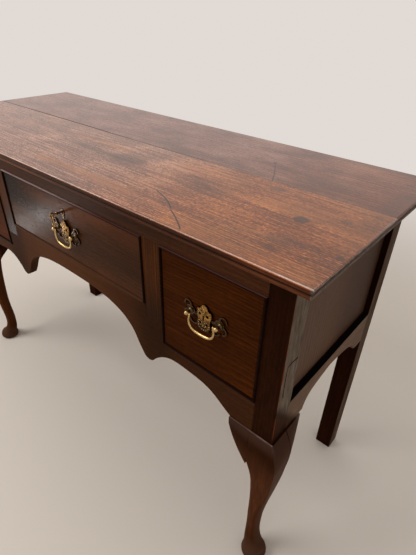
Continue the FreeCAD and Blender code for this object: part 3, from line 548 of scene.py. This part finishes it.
RAIL_LEDGE_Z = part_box("right_side_lower_rail")[1].z
REAR_STILE_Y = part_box("back_right_leg")[0].y
side_rail_oak = oak("side_rail_oak", "Y", SIDE_GREY, spread=1.7, heart=(0.70, -0.36), ring=0.005,
                    gloss=0.03, rough=(0.5, 0.62), extra=ledge_shade_and_foot)
panel_oak = oak("panel_oak", "Z", PANEL_BROWN, spread=1.6, heart=(0.30, 0.20), ring=0.006, streak=0.4,
                fleck=0.2, gloss=0.04, rough=(0.42, 0.54), patches=(1.5, 4.0, 4.0), pores=0.2,
                extra=panel_sheen_and_shade)
for side in ("left", "right"):
    finished(f"{side}_side_lower_rail", side_rail_oak)
    finished(f"{side}_side_upper_rail", side_rail_oak)
    dressed(f"{side}_side_panel", panel_oak)


# ------------------------------------------------------------------ back and inner parts
# Backboards, runners, kickers, stops and glue blocks are left unpolished: dry, brown with
# age and a little dusty, with saw marks.
RAW_BROWN = (0.195, 0.120, 0.070)
back_oak = oak("back_oak", "X", RAW_BROWN, spread=1.6, heart=(0.10, -0.50), ring=0.007, figure=0.25,
               gloss=0.1, rough=(0.62, 0.75), relief=0.5, lean=1.5)
inner_oak = oak("inner_oak", "Y", RAW_BROWN, spread=1.6, heart=(0.2, -0.45), ring=0.006, figure=0.5,
                gloss=0.1, rough=(0.62, 0.75), relief=0.5)
for board in ("back_upper_board", "back_lower_board", "top_glue_blocks", "drawer_stops"):
    dressed(board, back_oak)
dressed("drawer_kickers", inner_oak)
dressed("drawer_runners", inner_oak)


# ------------------------------------------------------------------ the top
# Two wide boards of flat-sawn oak, worn to a warm red-brown. Their joint has opened at the
# left. Cups and lamps have left dark spots, and there are a few old scratches.
FRONT_BOARD_BROWN = (0.220, 0.0600, 0.0160)
FRONT_BOARD_PALE = (0.430, 0.1500, 0.0420)
BACK_BOARD_BROWN = (0.158, 0.0430, 0.0170)
BACK_BOARD_PALE = (0.250, 0.0960, 0.0470)
WORN_ORANGE = (0.300, 0.1050, 0.0300, 1)
STAIN_BROWN = (0.060, 0.0270, 0.0150, 1)
SCORE_BLACK = (0.018, 0.0090, 0.0060, 1)
OPEN_GRAIN = 4.6 * MM
EDGE_BROWN = (0.100, 0.0320, 0.0125)
HAND_BLACK = (0.012, 0.0050, 0.0030, 1)
EDGE_BLACK = (0.030, 0.0110, 0.0060, 1)
CORNER_GLOW = (2.2, 2.0, 1.8, 1)
LIP_HIGHLIGHT = (0.86, 0.66, 0.58, 1)
LIP_BACK = 5.0 * MM             # the dark line behind the lip stands this far from the front
END_GRAIN = [(0.35, (0.070, 0.050, 0.038)), (0.50, (0.130, 0.095, 0.074)), (0.65, (0.220, 0.168, 0.136))]
# the open joint: its place at the middle of the top, and how much it slants
JOINT_Y = 18.0 * MM
JOINT_SLANT = 0.0041
# bands of the moulded edge, downwards: height in mm, and the share of the edge colour left there.
# The top bands are a painted highlight on the arris, the darkest a painted shade in the quirk,
# and the band low on the moulding is lifted where its upright face gets less light.
EDGE_TONES_AND_LIGHT = [(780.0, (1.9, 2.1, 2.4)), (778.6, (1.4, 1.45, 1.5)), (777.4, (0.48, 0.48, 0.48)),
              (773.2, (0.28, 0.28, 0.30)), (771.2, (0.12, 0.13, 0.15)), (769.4, (0.60, 0.64, 0.68)),
              (765.5, (1.4, 1.4, 1.4)), (762.6, (0.8, 0.8, 0.8))]
# a painted sheen greys the left of both boards: what it multiplies the colour by, and where it fades
FRONT_PAINTED_SHEEN, BACK_PAINTED_SHEEN = (1.00, 1.54, 3.60, 1), (1.09, 1.58, 2.60, 1)
FRONT_SHEEN_FADES, BACK_SHEEN_FADES = (0.06, 0.40), (0.20, 0.56)
NO_SHEEN = (1.0, 1.0, 1.0, 1)
# how strong the painted highlight on the front lip is: share of the length of the top from its left end,
# and strength
LIP_HIGHLIGHT_SHARE = [(0.30, 0.25), (0.50, 0.62), (0.60, 0.62), (0.67, 0.35), (0.75, 0.22), (0.82, 0.22),
             (0.87, 0.50), (0.92, 0.30), (0.965, 0.85), (1.0, 0.75)]
# spots on each board: x, y, half length, half width in mm, and how dark
SMALL_SPOT = 15
SPOTS = [(495, -86, 12, 11, 0.90), (404, -7, 16, 11, 0.55), (549, -47, 10, 8, 0.42),
         (589, -152, 6, 5, 0.75), (512, -160, 30, 17, 0.45), (98, -80, 44, 30, 0.62),
         (-10, -90, 90, 13, 0.50), (310, -84, 62, 24, 0.24), (345, -178, 70, 12, 0.12),
         (583, -20, 16, 40, 0.25), (130, -30, 24, 26, 0.35), (-65, -180, 14, 3, 0.40),
         (-85, -152, 9, 3, 0.35), (447, -194, 78, 40, 0.34), (500, -62, 62, 24, 0.24),
         (545, 4, 60, 14, 0.25)]
BACK_SPOTS = [(70, 75, 44, 30, 0.40), (455, 78, 66, 34, 0.40), (250, 48, 44, 16, 0.34),
              (424, 146, 24, 14, 0.34), (-88, 228, 9, 5, 0.80), (585, 70, 20, 60, 0.30),
              (315, 34, 40, 14, 0.34), (330, 130, 40, 30, 0.08), (480, 34, 130, 12, 0.35),
              (110, 45, 110, 14, 0.30), (480, 228, 80, 12, 0.32), (0, 230, 90, 9, 0.20)]
# scratches: start, end, which way and how far the middle bows out, width in mm, and how dark
SCORES = [((257, -155), (330, -192), (2, 4), 2.6, 0.95), ((330, -192), (389, -234), (1, 1.5), 2.4, 0.95),
          ((318, -2), (326, -9), (0.2, 0.3), 1.4, 0.6), ((455, -205), (475, -212), (0.1, 0.5), 1.2, 0.6),
          ((397, -62), (397, -140), (1, 0), 3.0, 0.30)]
BACK_SCORES = [((319, 112), (326, 104), (0.2, 0.2), 6.0, 0.9),
               ((327, 102), (376, 14), (1.4, 0.8), 2.0, 0.85)]
# pale rubbed bands of the front board: start, end, width in mm, and how strong
RUBBED = [((-130, -84), (70, -6), 18, 0.40), ((-60, -207), (250, -178), 22, 0.45),
          ((190, -30), (360, -30), 40, 0.25), ((330, -222), (600, -222), 40, 0.30),
          ((400, -60), (600, -50), 50, 0.20)]


def spot(tree, place, centre, half_length, half_width):
    """A cloudy-edged oval stain on the top."""
    away = (-centre[0] * MM, -centre[1] * MM, 0)
    moved = put(tree, "Mapping", {"Vector": place, "Location": away}).outputs[0]
    unit = put(tree, "VectorMath", {0: moved, 1: (1 / (half_length * MM), 1 / (half_width * MM), 0)},
               operation="MULTIPLY").outputs[0]
    reach = put(tree, "VectorMath", {0: unit}, operation="LENGTH").outputs["Value"]
    ragged = noise(tree, unit, (1.0, 1.0, 0.0), scale=0.9, detail=3.0)
    reach = plus(tree, reach, swing(tree, ragged, 0.9))
    blur = 0.18 if half_length < SMALL_SPOT else 0.45
    return between(tree, reach, 1.0 - blur, 1.0 + blur, 1.0, 0.0)


def open_grain(tree, place, colour):
    """Straight open grain near the front edge at the right: fine dark lines, drawn out along it."""
    x, y = axis_of(tree, place, "X"), axis_of(tree, place, "Y")
    wander = noise(tree, place, (5.0, 40.0, 0.0), detail=2.0)
    turns = plus(tree, times(tree, y, 2 * pi / OPEN_GRAIN), times(tree, wander, 9.0))
    broken = between(tree, noise(tree, place, (30.0, 260.0, 0.0), detail=3.0), 0.38, 0.58, 0.25, 1.0)
    here = times(tree, between(tree, y, -0.190, -0.120, 1.0, 0.0), between(tree, x, 0.10, 0.40, 0.15, 1.0))
    lines = times(tree, maths(tree, "SINE", turns), times(tree, broken, here))
    tone = put(tree, "CombineXYZ", {way: plus(tree, times(tree, lines, weight), 1.0)
                                    for way, weight in enumerate((0.50, 0.58, 0.62))}).outputs[0]
    return tinted(tree, colour, tone)


def lip(tree, place, colour):
    """The front lip of the top with a painted highlight, and a thin dark line behind it."""
    x, y = axis_of(tree, place, "X"), axis_of(tree, place, "Y")
    behind = minus(tree, y, TOP_FRONT_Y)
    share = ramp(tree, plus(tree, times(tree, x, 1 / TOP_LONG), 0.5),
                 [(at, (strength,) * 3) for at, strength in LIP_HIGHLIGHT_SHARE])
    uneven = between(tree, noise(tree, place, (22.0, 60.0, 0.0), detail=2.0), 0.35, 0.60, 0.55, 1.0)
    # painted highlight along the front lip
    pale = times(tree, between(tree, behind, 1.6 * MM, 3.2 * MM, 1.0, 0.0), share, uneven)
    colour = blended(tree, pale, colour, LIP_HIGHLIGHT)
    line = times(tree, between(tree, apart(tree, behind, LIP_BACK), 0.8 * MM, 2.6 * MM, 0.40, 0.0),
                 between(tree, x, 0.28, 0.36))
    return blended(tree, line, colour, STAIN_BROWN)


def board_marks(spots, scores, rubbed, sheen_tint, sheen_fades):
    """Marks for one board: a painted sheen, rubbed bands, stains, scratches and the open joint."""
    def on_top(point):
        return (*point, TOP_Z / MM)

    def marks(tree, place, colour, dull):
        x, y = axis_of(tree, place, "X"), axis_of(tree, place, "Y")
        # painted sheen: the left of the board is greyed, as by a reflection
        colour = tinted(tree, colour, blended(tree, between(tree, x, *sheen_fades), sheen_tint, NO_SHEEN))
        colour = lip(tree, place, open_grain(tree, place, colour))
        for start, end, width, strength in rubbed:
            mask = line_mark(tree, place, on_top(start), on_top(end), (0.0, 2.0, 0), width)
            colour = blended(tree, times(tree, mask, strength), colour, WORN_ORANGE)
        for *centre, half_length, half_width, dark in spots:
            mask = times(tree, spot(tree, place, centre, half_length, half_width), dark)
            colour = blended(tree, mask, colour, STAIN_BROWN)
        for start, end, bow, width, dark in scores:
            mask = line_mark(tree, place, on_top(start), on_top(end), (*bow, 0), width)
            colour = blended(tree, times(tree, mask, dark), colour, SCORE_BLACK)
        colour = blended(tree, between(tree, x, 0.52, 0.60, 0.0, 0.35), colour, STAIN_BROWN)
        joint = put(tree, "Math", {0: x, 1: JOINT_SLANT, 2: JOINT_Y}, operation="MULTIPLY_ADD").outputs[0]
        gap = times(tree, between(tree, apart(tree, y, joint), 1.7 * MM, 3.4 * MM, 1.0, 0.0),
                    between(tree, x, 0.14, 0.28, 0.95, 0.28))
        return blended(tree, gap, colour, SCORE_BLACK), dull
    return marks


def edge_marks(tree, place, colour, dull):
    """The edge mouldings: painted highlight on the arris, painted shade in the quirk, bright where hands
    rub them near the corner, grey end grain.
    """
    along = axis_of(tree, place, "X")
    depth = times(tree, minus(tree, TOP_Z, axis_of(tree, place, "Z")), 1 / TOP_THICK)
    bands = ramp(tree, depth, [((TOP_Z / MM - height) * MM / TOP_THICK, share)
                               for height, share in EDGE_TONES_AND_LIGHT])
    # painted light: a highlight on the arris, shade in the quirk, and a lift low on the moulding
    colour = tinted(tree, colour, bands)
    handled = times(tree, between(tree, along, -0.05, 0.12, 0.0, 0.45), between(tree, depth, 0.45, 0.55),
                    between(tree, along, 0.42, 0.50, 1.0, 0.35))
    colour = blended(tree, handled, colour, HAND_BLACK)
    rubbed = times(tree, between(tree, along, 0.44, 0.53), between(tree, depth, 0.35, 0.52, 1.0, 0.15))
    colour = tinted(tree, colour, CORNER_GLOW, rubbed)
    uneven = noise(tree, place, (9.0, 9.0, 160.0), detail=3.0)
    colour = blended(tree, between(tree, uneven, 0.35, 0.65, 0.0, 0.35), colour, EDGE_BLACK)
    end = between(tree, size_of(tree, along), TOP_END_X - 6.0 * MM, TOP_END_X - 3.4 * MM)
    fibres = ramp(tree, noise(tree, place, (200.0, 90.0, 900.0), detail=3.0), END_GRAIN)
    colour = blended(tree, end, colour, tinted(tree, fibres, bands, 0.75))
    return colour, plus(tree, dull, times(tree, end, 0.2))


TOP_LOW, TOP_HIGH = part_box("top_front_board")
TOP_END_X, TOP_FRONT_Y, TOP_Z = TOP_HIGH.x, TOP_LOW.y, TOP_HIGH.z
TOP_THICK = TOP_Z - TOP_LOW.z
TOP_LONG = TOP_HIGH.x - TOP_LOW.x
front_board_oak = oak("front_board_oak", "X", FRONT_BOARD_BROWN, spread=1.9, pale=FRONT_BOARD_PALE,
                      heart=(0.055, -0.690), ring=0.0060, figure=0.14, streak=1.3, fleck=1.7,
                      flecks_at=(200.0, 640.0, 640.0), cloud=0.8, patches=(8.0, 16.0, 16.0), pores=0.75,
                      pores_at=(42.0, 380.0, 380.0), rough=(0.12, 0.22), gloss=0.6, lean=1.0, relief=0.14,
                      extra=board_marks(SPOTS, SCORES, RUBBED, FRONT_PAINTED_SHEEN, FRONT_SHEEN_FADES))
back_board_oak = oak("back_board_oak", "X", BACK_BOARD_BROWN, spread=2.0, pale=BACK_BOARD_PALE,
                     heart=(-0.42, -0.60), ring=0.009, figure=0.12, streak=0.8, fleck=1.2,
                     flecks_at=(200.0, 640.0, 640.0), cloud=1.2, patches=(9.0, 16.0, 16.0), pores=0.5,
                     pores_at=(42.0, 380.0, 380.0), rough=(0.12, 0.22), gloss=0.6, lean=0.5, relief=0.12,
                     extra=board_marks(BACK_SPOTS, BACK_SCORES, [], BACK_PAINTED_SHEEN, BACK_SHEEN_FADES))
edge_oak = oak("top_edge_oak", "X", EDGE_BROWN, spread=1.8, ring=0.004, gloss=0.04, rough=(0.3, 0.42),
               extra=edge_marks)
for node, wood in (("top_front_board", front_board_oak), ("top_back_board", back_board_oak)):
    board = finished(node, wood, eased=0.35 * MM)
    board.data.materials.append(edge_oak)
    for face in board.data.polygons:
        face.material_index = int(face.center.z < TOP_Z - 1.0 * MM)


# ------------------------------------------------------------------ drawers
# Oak drawers with solid fronts, lapped dovetails and thin sides. The fronts are polished
# red-brown; sides, backs and bottoms are bare wood.
DRAWER_BROWN = (0.046, 0.0114, 0.0018)
CENTRE_BROWN = (0.045, 0.0145, 0.0040)
CENTRE_RED = (0.105, 0.0300, 0.0080, 1)
DRAWER_SIDE_BROWN = (0.240, 0.155, 0.090)


def centre_red_and_shade(tree, place, colour, dull):
    """The centre front is red along its top and bottom, and its upper left is painted black as shade."""
    x = axis_of(tree, place, "X")
    z = axis_of(tree, place, "Z")
    edges = maths(tree, "MAXIMUM", between(tree, z, 0.640, 0.690), between(tree, z, 0.558, 0.585, 1.0, 0.0))
    uneven = between(tree, noise(tree, place, (9.0, 9.0, 30.0), detail=3.0), 0.35, 0.6, 0.25, 0.85)
    red = times(tree, edges, uneven, between(tree, apart(tree, x, 0.03), 0.08, 0.17, 1.0, 0.42))
    colour = blended(tree, red, colour, CENTRE_RED)
    # painted shade: the upper left of the front is blackened
    waxed = times(tree, between(tree, x, -0.24, -0.06, 0.85, 0.0), between(tree, z, 0.60, 0.65))
    return blended(tree, waxed, colour, DIRT_AND_SHADE_BLACK), dull


front_oak = oak("drawer_front_oak", "X", DRAWER_BROWN, spread=1.8, heart=(0.30, -0.45), gloss=0.008,
                rough=(0.34, 0.5), cloud=1.0, lean=2.0)
centre_oak = oak("centre_drawer_front_oak", "X", CENTRE_BROWN, spread=1.6, heart=(0.26, -0.52), gloss=0.03,
                 rough=(0.20, 0.28), cloud=0.9, lean=-1.5, extra=centre_red_and_shade)
drawer_side_oak = oak("drawer_side_oak", "Y", DRAWER_SIDE_BROWN, spread=1.5, heart=(0.40, -0.50),
                      ring=0.0045, figure=0.4, gloss=0.12, rough=(0.55, 0.7), relief=0.35)
drawer_back_oak = oak("drawer_back_oak", "X", DRAWER_SIDE_BROWN, spread=1.5, heart=(0.40, -0.42),
                      ring=0.005, figure=0.4, gloss=0.12, rough=(0.55, 0.7), relief=0.35)
for where, wood in (("left", front_oak), ("centre", centre_oak), ("right", front_oak)):
    drawer = f"{where}_drawer"
    finished(f"{drawer}_front", wood, eased=0.5 * MM)
    dressed(f"{drawer}_left_side", drawer_side_oak)
    dressed(f"{drawer}_right_side", drawer_side_oak)
    dressed(f"{drawer}_bottom", drawer_side_oak)
    dressed(f"{drawer}_back", drawer_back_oak)


# ------------------------------------------------------------------ brass handles
# Cast and pierced brass plates, turned posts with ball heads, and cast bails. The high
# places are rubbed bright; the hollows hold brown tarnish and old wax.
PALE_GOLD = (0.66, 0.450, 0.185)
OLD_GOLD = (0.46, 0.240, 0.062)
BRONZE = (0.085, 0.046, 0.019)
WAX_BLACK = (0.016, 0.009, 0.005, 1)
DRAWER_FACE_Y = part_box("right_drawer_front")[0].y
WING_PROUD = 2.9 * MM
CROWN_PROUD = 4.2 * MM
POST_CLEAN = 9.5 * MM
FLUTE = 2.6 * MM
FLUTES_LOW = 9.0 * MM
# the dome of the crown, in mm: its height, its radius across and its radius over all
CROWN_HIGH, CROWN_BEND, CROWN_BALL = 6.5, 62.0, 182.4
# pearls on the crown: x and z from its middle, and radius, in mm
PEARLS = [(0, -24.0, 1.0), (4.2, -23.2, 0.9), (8.2, -20.6, 0.9), (10.8, -16.6, 0.9), (11.6, -12.0, 0.8),
          (10.6, -6.6, 0.9), (3.4, -7.4, 1.0), (5.2, -13.6, 1.0), (2.2, -16.6, 0.8), (0, -13.4, 1.1),
          (7.0, -5.2, 0.8), (0, 24.6, 0.9), (3.4, 22.4, 0.8), (6.4, 19.6, 0.8), (11.6, 14.6, 0.8),
          (12.2, 9.4, 0.7), (0, 11.2, 0.9), (3.4, 11.0, 0.8), (0, 19.4, 1.1)]


def brass(name, base, dirt, rough=(0.22, 0.38), middle=None, clean=None):
    """Old brass: uneven colour, and dirt in the low places: nearer the drawer than clean.

    A backplate, whose middle is given, is bronze on its wings and gold on its domed crown,
    which is fluted above and darker below.
    """
    finish, tree, shader, place = new_finish(name)
    wear = noise(tree, place, (150.0, 150.0, 150.0), detail=4.0, rough=0.6)
    spots = noise(tree, place, (520.0, 520.0, 520.0), detail=2.0)
    colour = ramp(tree, wear, tones(base, 2.0))
    proud = minus(tree, DRAWER_FACE_Y, axis_of(tree, place, "Y"))
    if clean:
        colour = blended(tree, between(tree, proud, 0.6 * clean, clean, 0.85, 0.0), colour, WAX_BLACK)
    if middle:
        local = put(tree, "Mapping", {"Vector": place, "Location": -middle}).outputs[0]
        x, z = axis_of(tree, local, "X"), axis_of(tree, local, "Z")
        crown = ramp(tree, wear, tones(OLD_GOLD, 1.7))
        flutes = size_of(tree, maths(tree, "SINE", times(tree, x, pi / FLUTE)))
        engraved = times(tree, between(tree, flutes, 0.20, 0.60, 1.0, 0.0),
                         between(tree, z, FLUTES_LOW - 2 * MM, FLUTES_LOW))
        shade = maths(tree, "MAXIMUM", engraved, between(tree, z, -8 * MM, 3 * MM, 1.0, 0.0))
        crown = blended(tree, times(tree, shade, 0.70), crown, WAX_BLACK)
        colour = blended(tree, between(tree, proud, WING_PROUD, CROWN_PROUD), colour, crown)
    dark = between(tree, plus(tree, wear, times(tree, spots, 0.5)), 0.62, 0.92, 0.0, dirt)
    colour = blended(tree, dark, colour, WAX_BLACK)
    tree.links.new(colour, shader.inputs["Base Color"])
    tree.links.new(between(tree, wear, 0.3, 0.7, *rough), shader.inputs["Roughness"])
    shader.inputs["Metallic"].default_value = 1.0
    bump = put(tree, "Bump", {"Height": spots, "Strength": 0.25, "Distance": 0.4 * MM}).outputs[0]
    tree.links.new(bump, shader.inputs["Normal"])
    return finish


def pearls(middle):
    """Cast pearls on the crown of the backplate round that middle, in pairs left and right."""
    def cast(bm):
        faces = []
        for x, z, radius in PEARLS:
            sag = max(x * x / (2 * CROWN_BEND), (x * x + z * z) / (2 * CROWN_BALL))
            for way in ((1,) if x == 0 else (1, -1)):
                seat = Vector((middle.x + way * x * MM, DRAWER_FACE_Y - (CROWN_HIGH - sag) * MM,
                               middle.z + z * MM))
                pearl = bmesh.ops.create_icosphere(bm, subdivisions=2, radius=radius * MM,
                                                   matrix=Matrix.Translation(seat))
                faces += list({face for vert in pearl["verts"] for face in vert.link_faces})
        return faces
    return cast


rubbed_brass = brass("rubbed_brass", PALE_GOLD, 0.55)
post_brass = brass("post_brass", PALE_GOLD, 0.55, clean=POST_CLEAN)
rim_brass = brass("rim_brass", PALE_GOLD, 0.75, rough=(0.18, 0.32))
old_brass = brass("old_brass", OLD_GOLD, 0.7)
for where in ("left", "centre", "right"):
    handle = f"{where}_handle"
    posts_low, posts_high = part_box(f"{handle}_posts")
    middle = (posts_low + posts_high) / 2
    plate_finish = brass(f"{handle}_plate_brass", BRONZE, 0.8, middle=middle)
    finished(f"{handle}_backplate", plate_finish, eased=0.55 * MM, rim=rim_brass, segments=3,
             add=pearls(middle))
    finished(f"{handle}_posts", post_brass, eased=0)
    finished(f"{handle}_bail", rubbed_brass, eased=0)
    dressed(f"{handle}_nuts", old_brass)

# Lock, key and escutcheon of the centre drawer, of the same brass and duller.
finished("escutcheon", brass("escutcheon_brass", BRONZE, 0.8), eased=0.35 * MM, rim=rim_brass)
finished("key", old_brass, eased=0)
finished("key_ring", old_brass, eased=0)
dressed("lock_case", old_brass)
dressed("lock_bolt", old_brass)


# ------------------------------------------------------------------ studio
# A plain pale floor that fades into a pale surround, one large soft lamp in front and to the
# left, a weaker one above, and a low strip whose reflection lies on the left of the front.
# The camera stands in front of the right end and looks down on the top.
FLOOR_HALF = 14.0
FLOOR_COLOUR = (0.66, 0.60, 0.53, 1)
SURROUND = (0.76, 0.70, 0.665, 1)
FLOOR_FADES = (1.1, 2.6)
SKY_LIGHT = 0.60                # the surround lights the piece with this share of what it shows
CAMERA_PLACE = Vector((0.7531, -0.6055, 1.0441))
CAMERA_FORWARD = Vector((-0.53583, 0.64127, -0.54924))
CAMERA_UP = Vector((-0.37482, 0.40223, 0.83530))
LENS = 27.146


def seen_ray(tree):
    """1 for rays that show the surround as it is: from the camera, and in metal or glass."""
    path = put(tree, "LightPath")
    return maths(tree, "MAXIMUM", path.outputs["Is Camera Ray"],
                 maths(tree, "MAXIMUM", path.outputs["Is Glossy Ray"], path.outputs["Is Transmission Ray"]))


bm = bmesh.new()
bmesh.ops.create_grid(bm, x_segments=1, y_segments=1, size=FLOOR_HALF)
floor_mesh = bpy.data.meshes.new("floor")
bm.to_mesh(floor_mesh)
bm.free()
floor = bpy.data.objects.new("floor", floor_mesh)
bpy.context.scene.collection.objects.link(floor)
floor_finish, tree, shader, place = new_finish("floor_finish")
shader.inputs["Base Color"].default_value = FLOOR_COLOUR
shader.inputs["Roughness"].default_value = 0.9
shader.inputs["Specular IOR Level"].default_value = 0.1
away = put(tree, "VectorMath", {0: place}, operation="LENGTH").outputs["Value"]
fade = times(tree, between(tree, away, *FLOOR_FADES), seen_ray(tree))
glow = put(tree, "Emission", {"Color": SURROUND, "Strength": 1.0}).outputs[0]
both = put(tree, "MixShader", {0: fade, 1: shader.outputs[0], 2: glow}).outputs[0]
tree.links.new(both, next(n for n in tree.nodes if n.type == "OUTPUT_MATERIAL").inputs[0])
floor_mesh.materials.append(floor_finish)

world = bpy.data.worlds.new("surround")
bpy.context.scene.world = world
world.use_nodes = True
tree = world.node_tree
tree.nodes.clear()
strength = plus(tree, times(tree, seen_ray(tree), 1.0 - SKY_LIGHT), SKY_LIGHT)
sky = put(tree, "Background", {"Color": SURROUND, "Strength": strength})
tree.links.new(sky.outputs[0], put(tree, "OutputWorld").inputs[0])


def lamp(name, place, target, size, watts, along=(1, 0, 0), width=None):
    """A soft lamp of that size, lying along one direction, which throws light at the target."""
    light = bpy.data.lights.new(name, "AREA")
    light.shape = "RECTANGLE"
    light.size = size
    light.size_y = width or size
    light.energy = watts
    holder = bpy.data.objects.new(name, light)
    bpy.context.scene.collection.objects.link(holder)
    away = (Vector(place) - Vector(target)).normalized()
    across = (Vector(along) - Vector(along).dot(away) * away).normalized()
    turn = Matrix((across, away.cross(across), away)).transposed().to_4x4()
    holder.matrix_world = Matrix.Translation(place) @ turn
    holder.visible_camera = False
    return light


lamp("front_lamp", place=(-1.5, -1.7, 2.3), target=(0.0, 0.0, 0.5), size=1.6, watts=52)
lamp("top_lamp", place=(0.2, 0.3, 2.8), target=(0.0, 0.0, 0.7), size=1.8, watts=25)
low_lamp = lamp("low_lamp", place=(-1.129, -0.663, 0.112), target=(-0.14, -0.186, 0.60), size=0.23,
                watts=0.075, along=(0.048, -0.198, 0.089), width=0.07)
low_lamp.spread = radians(60)

camera_data = bpy.data.cameras.new("camera")
camera_data.lens = LENS
camera_data.sensor_width = 36
camera = bpy.data.objects.new("camera", camera_data)
bpy.context.scene.collection.objects.link(camera)
right = CAMERA_FORWARD.cross(CAMERA_UP)
turn = Matrix((right, CAMERA_UP, -CAMERA_FORWARD)).transposed().to_4x4()
camera.matrix_world = Matrix.Translation(CAMERA_PLACE) @ turn
bpy.context.scene.camera = camera
bpy.context.scene.view_settings.view_transform = "Standard"
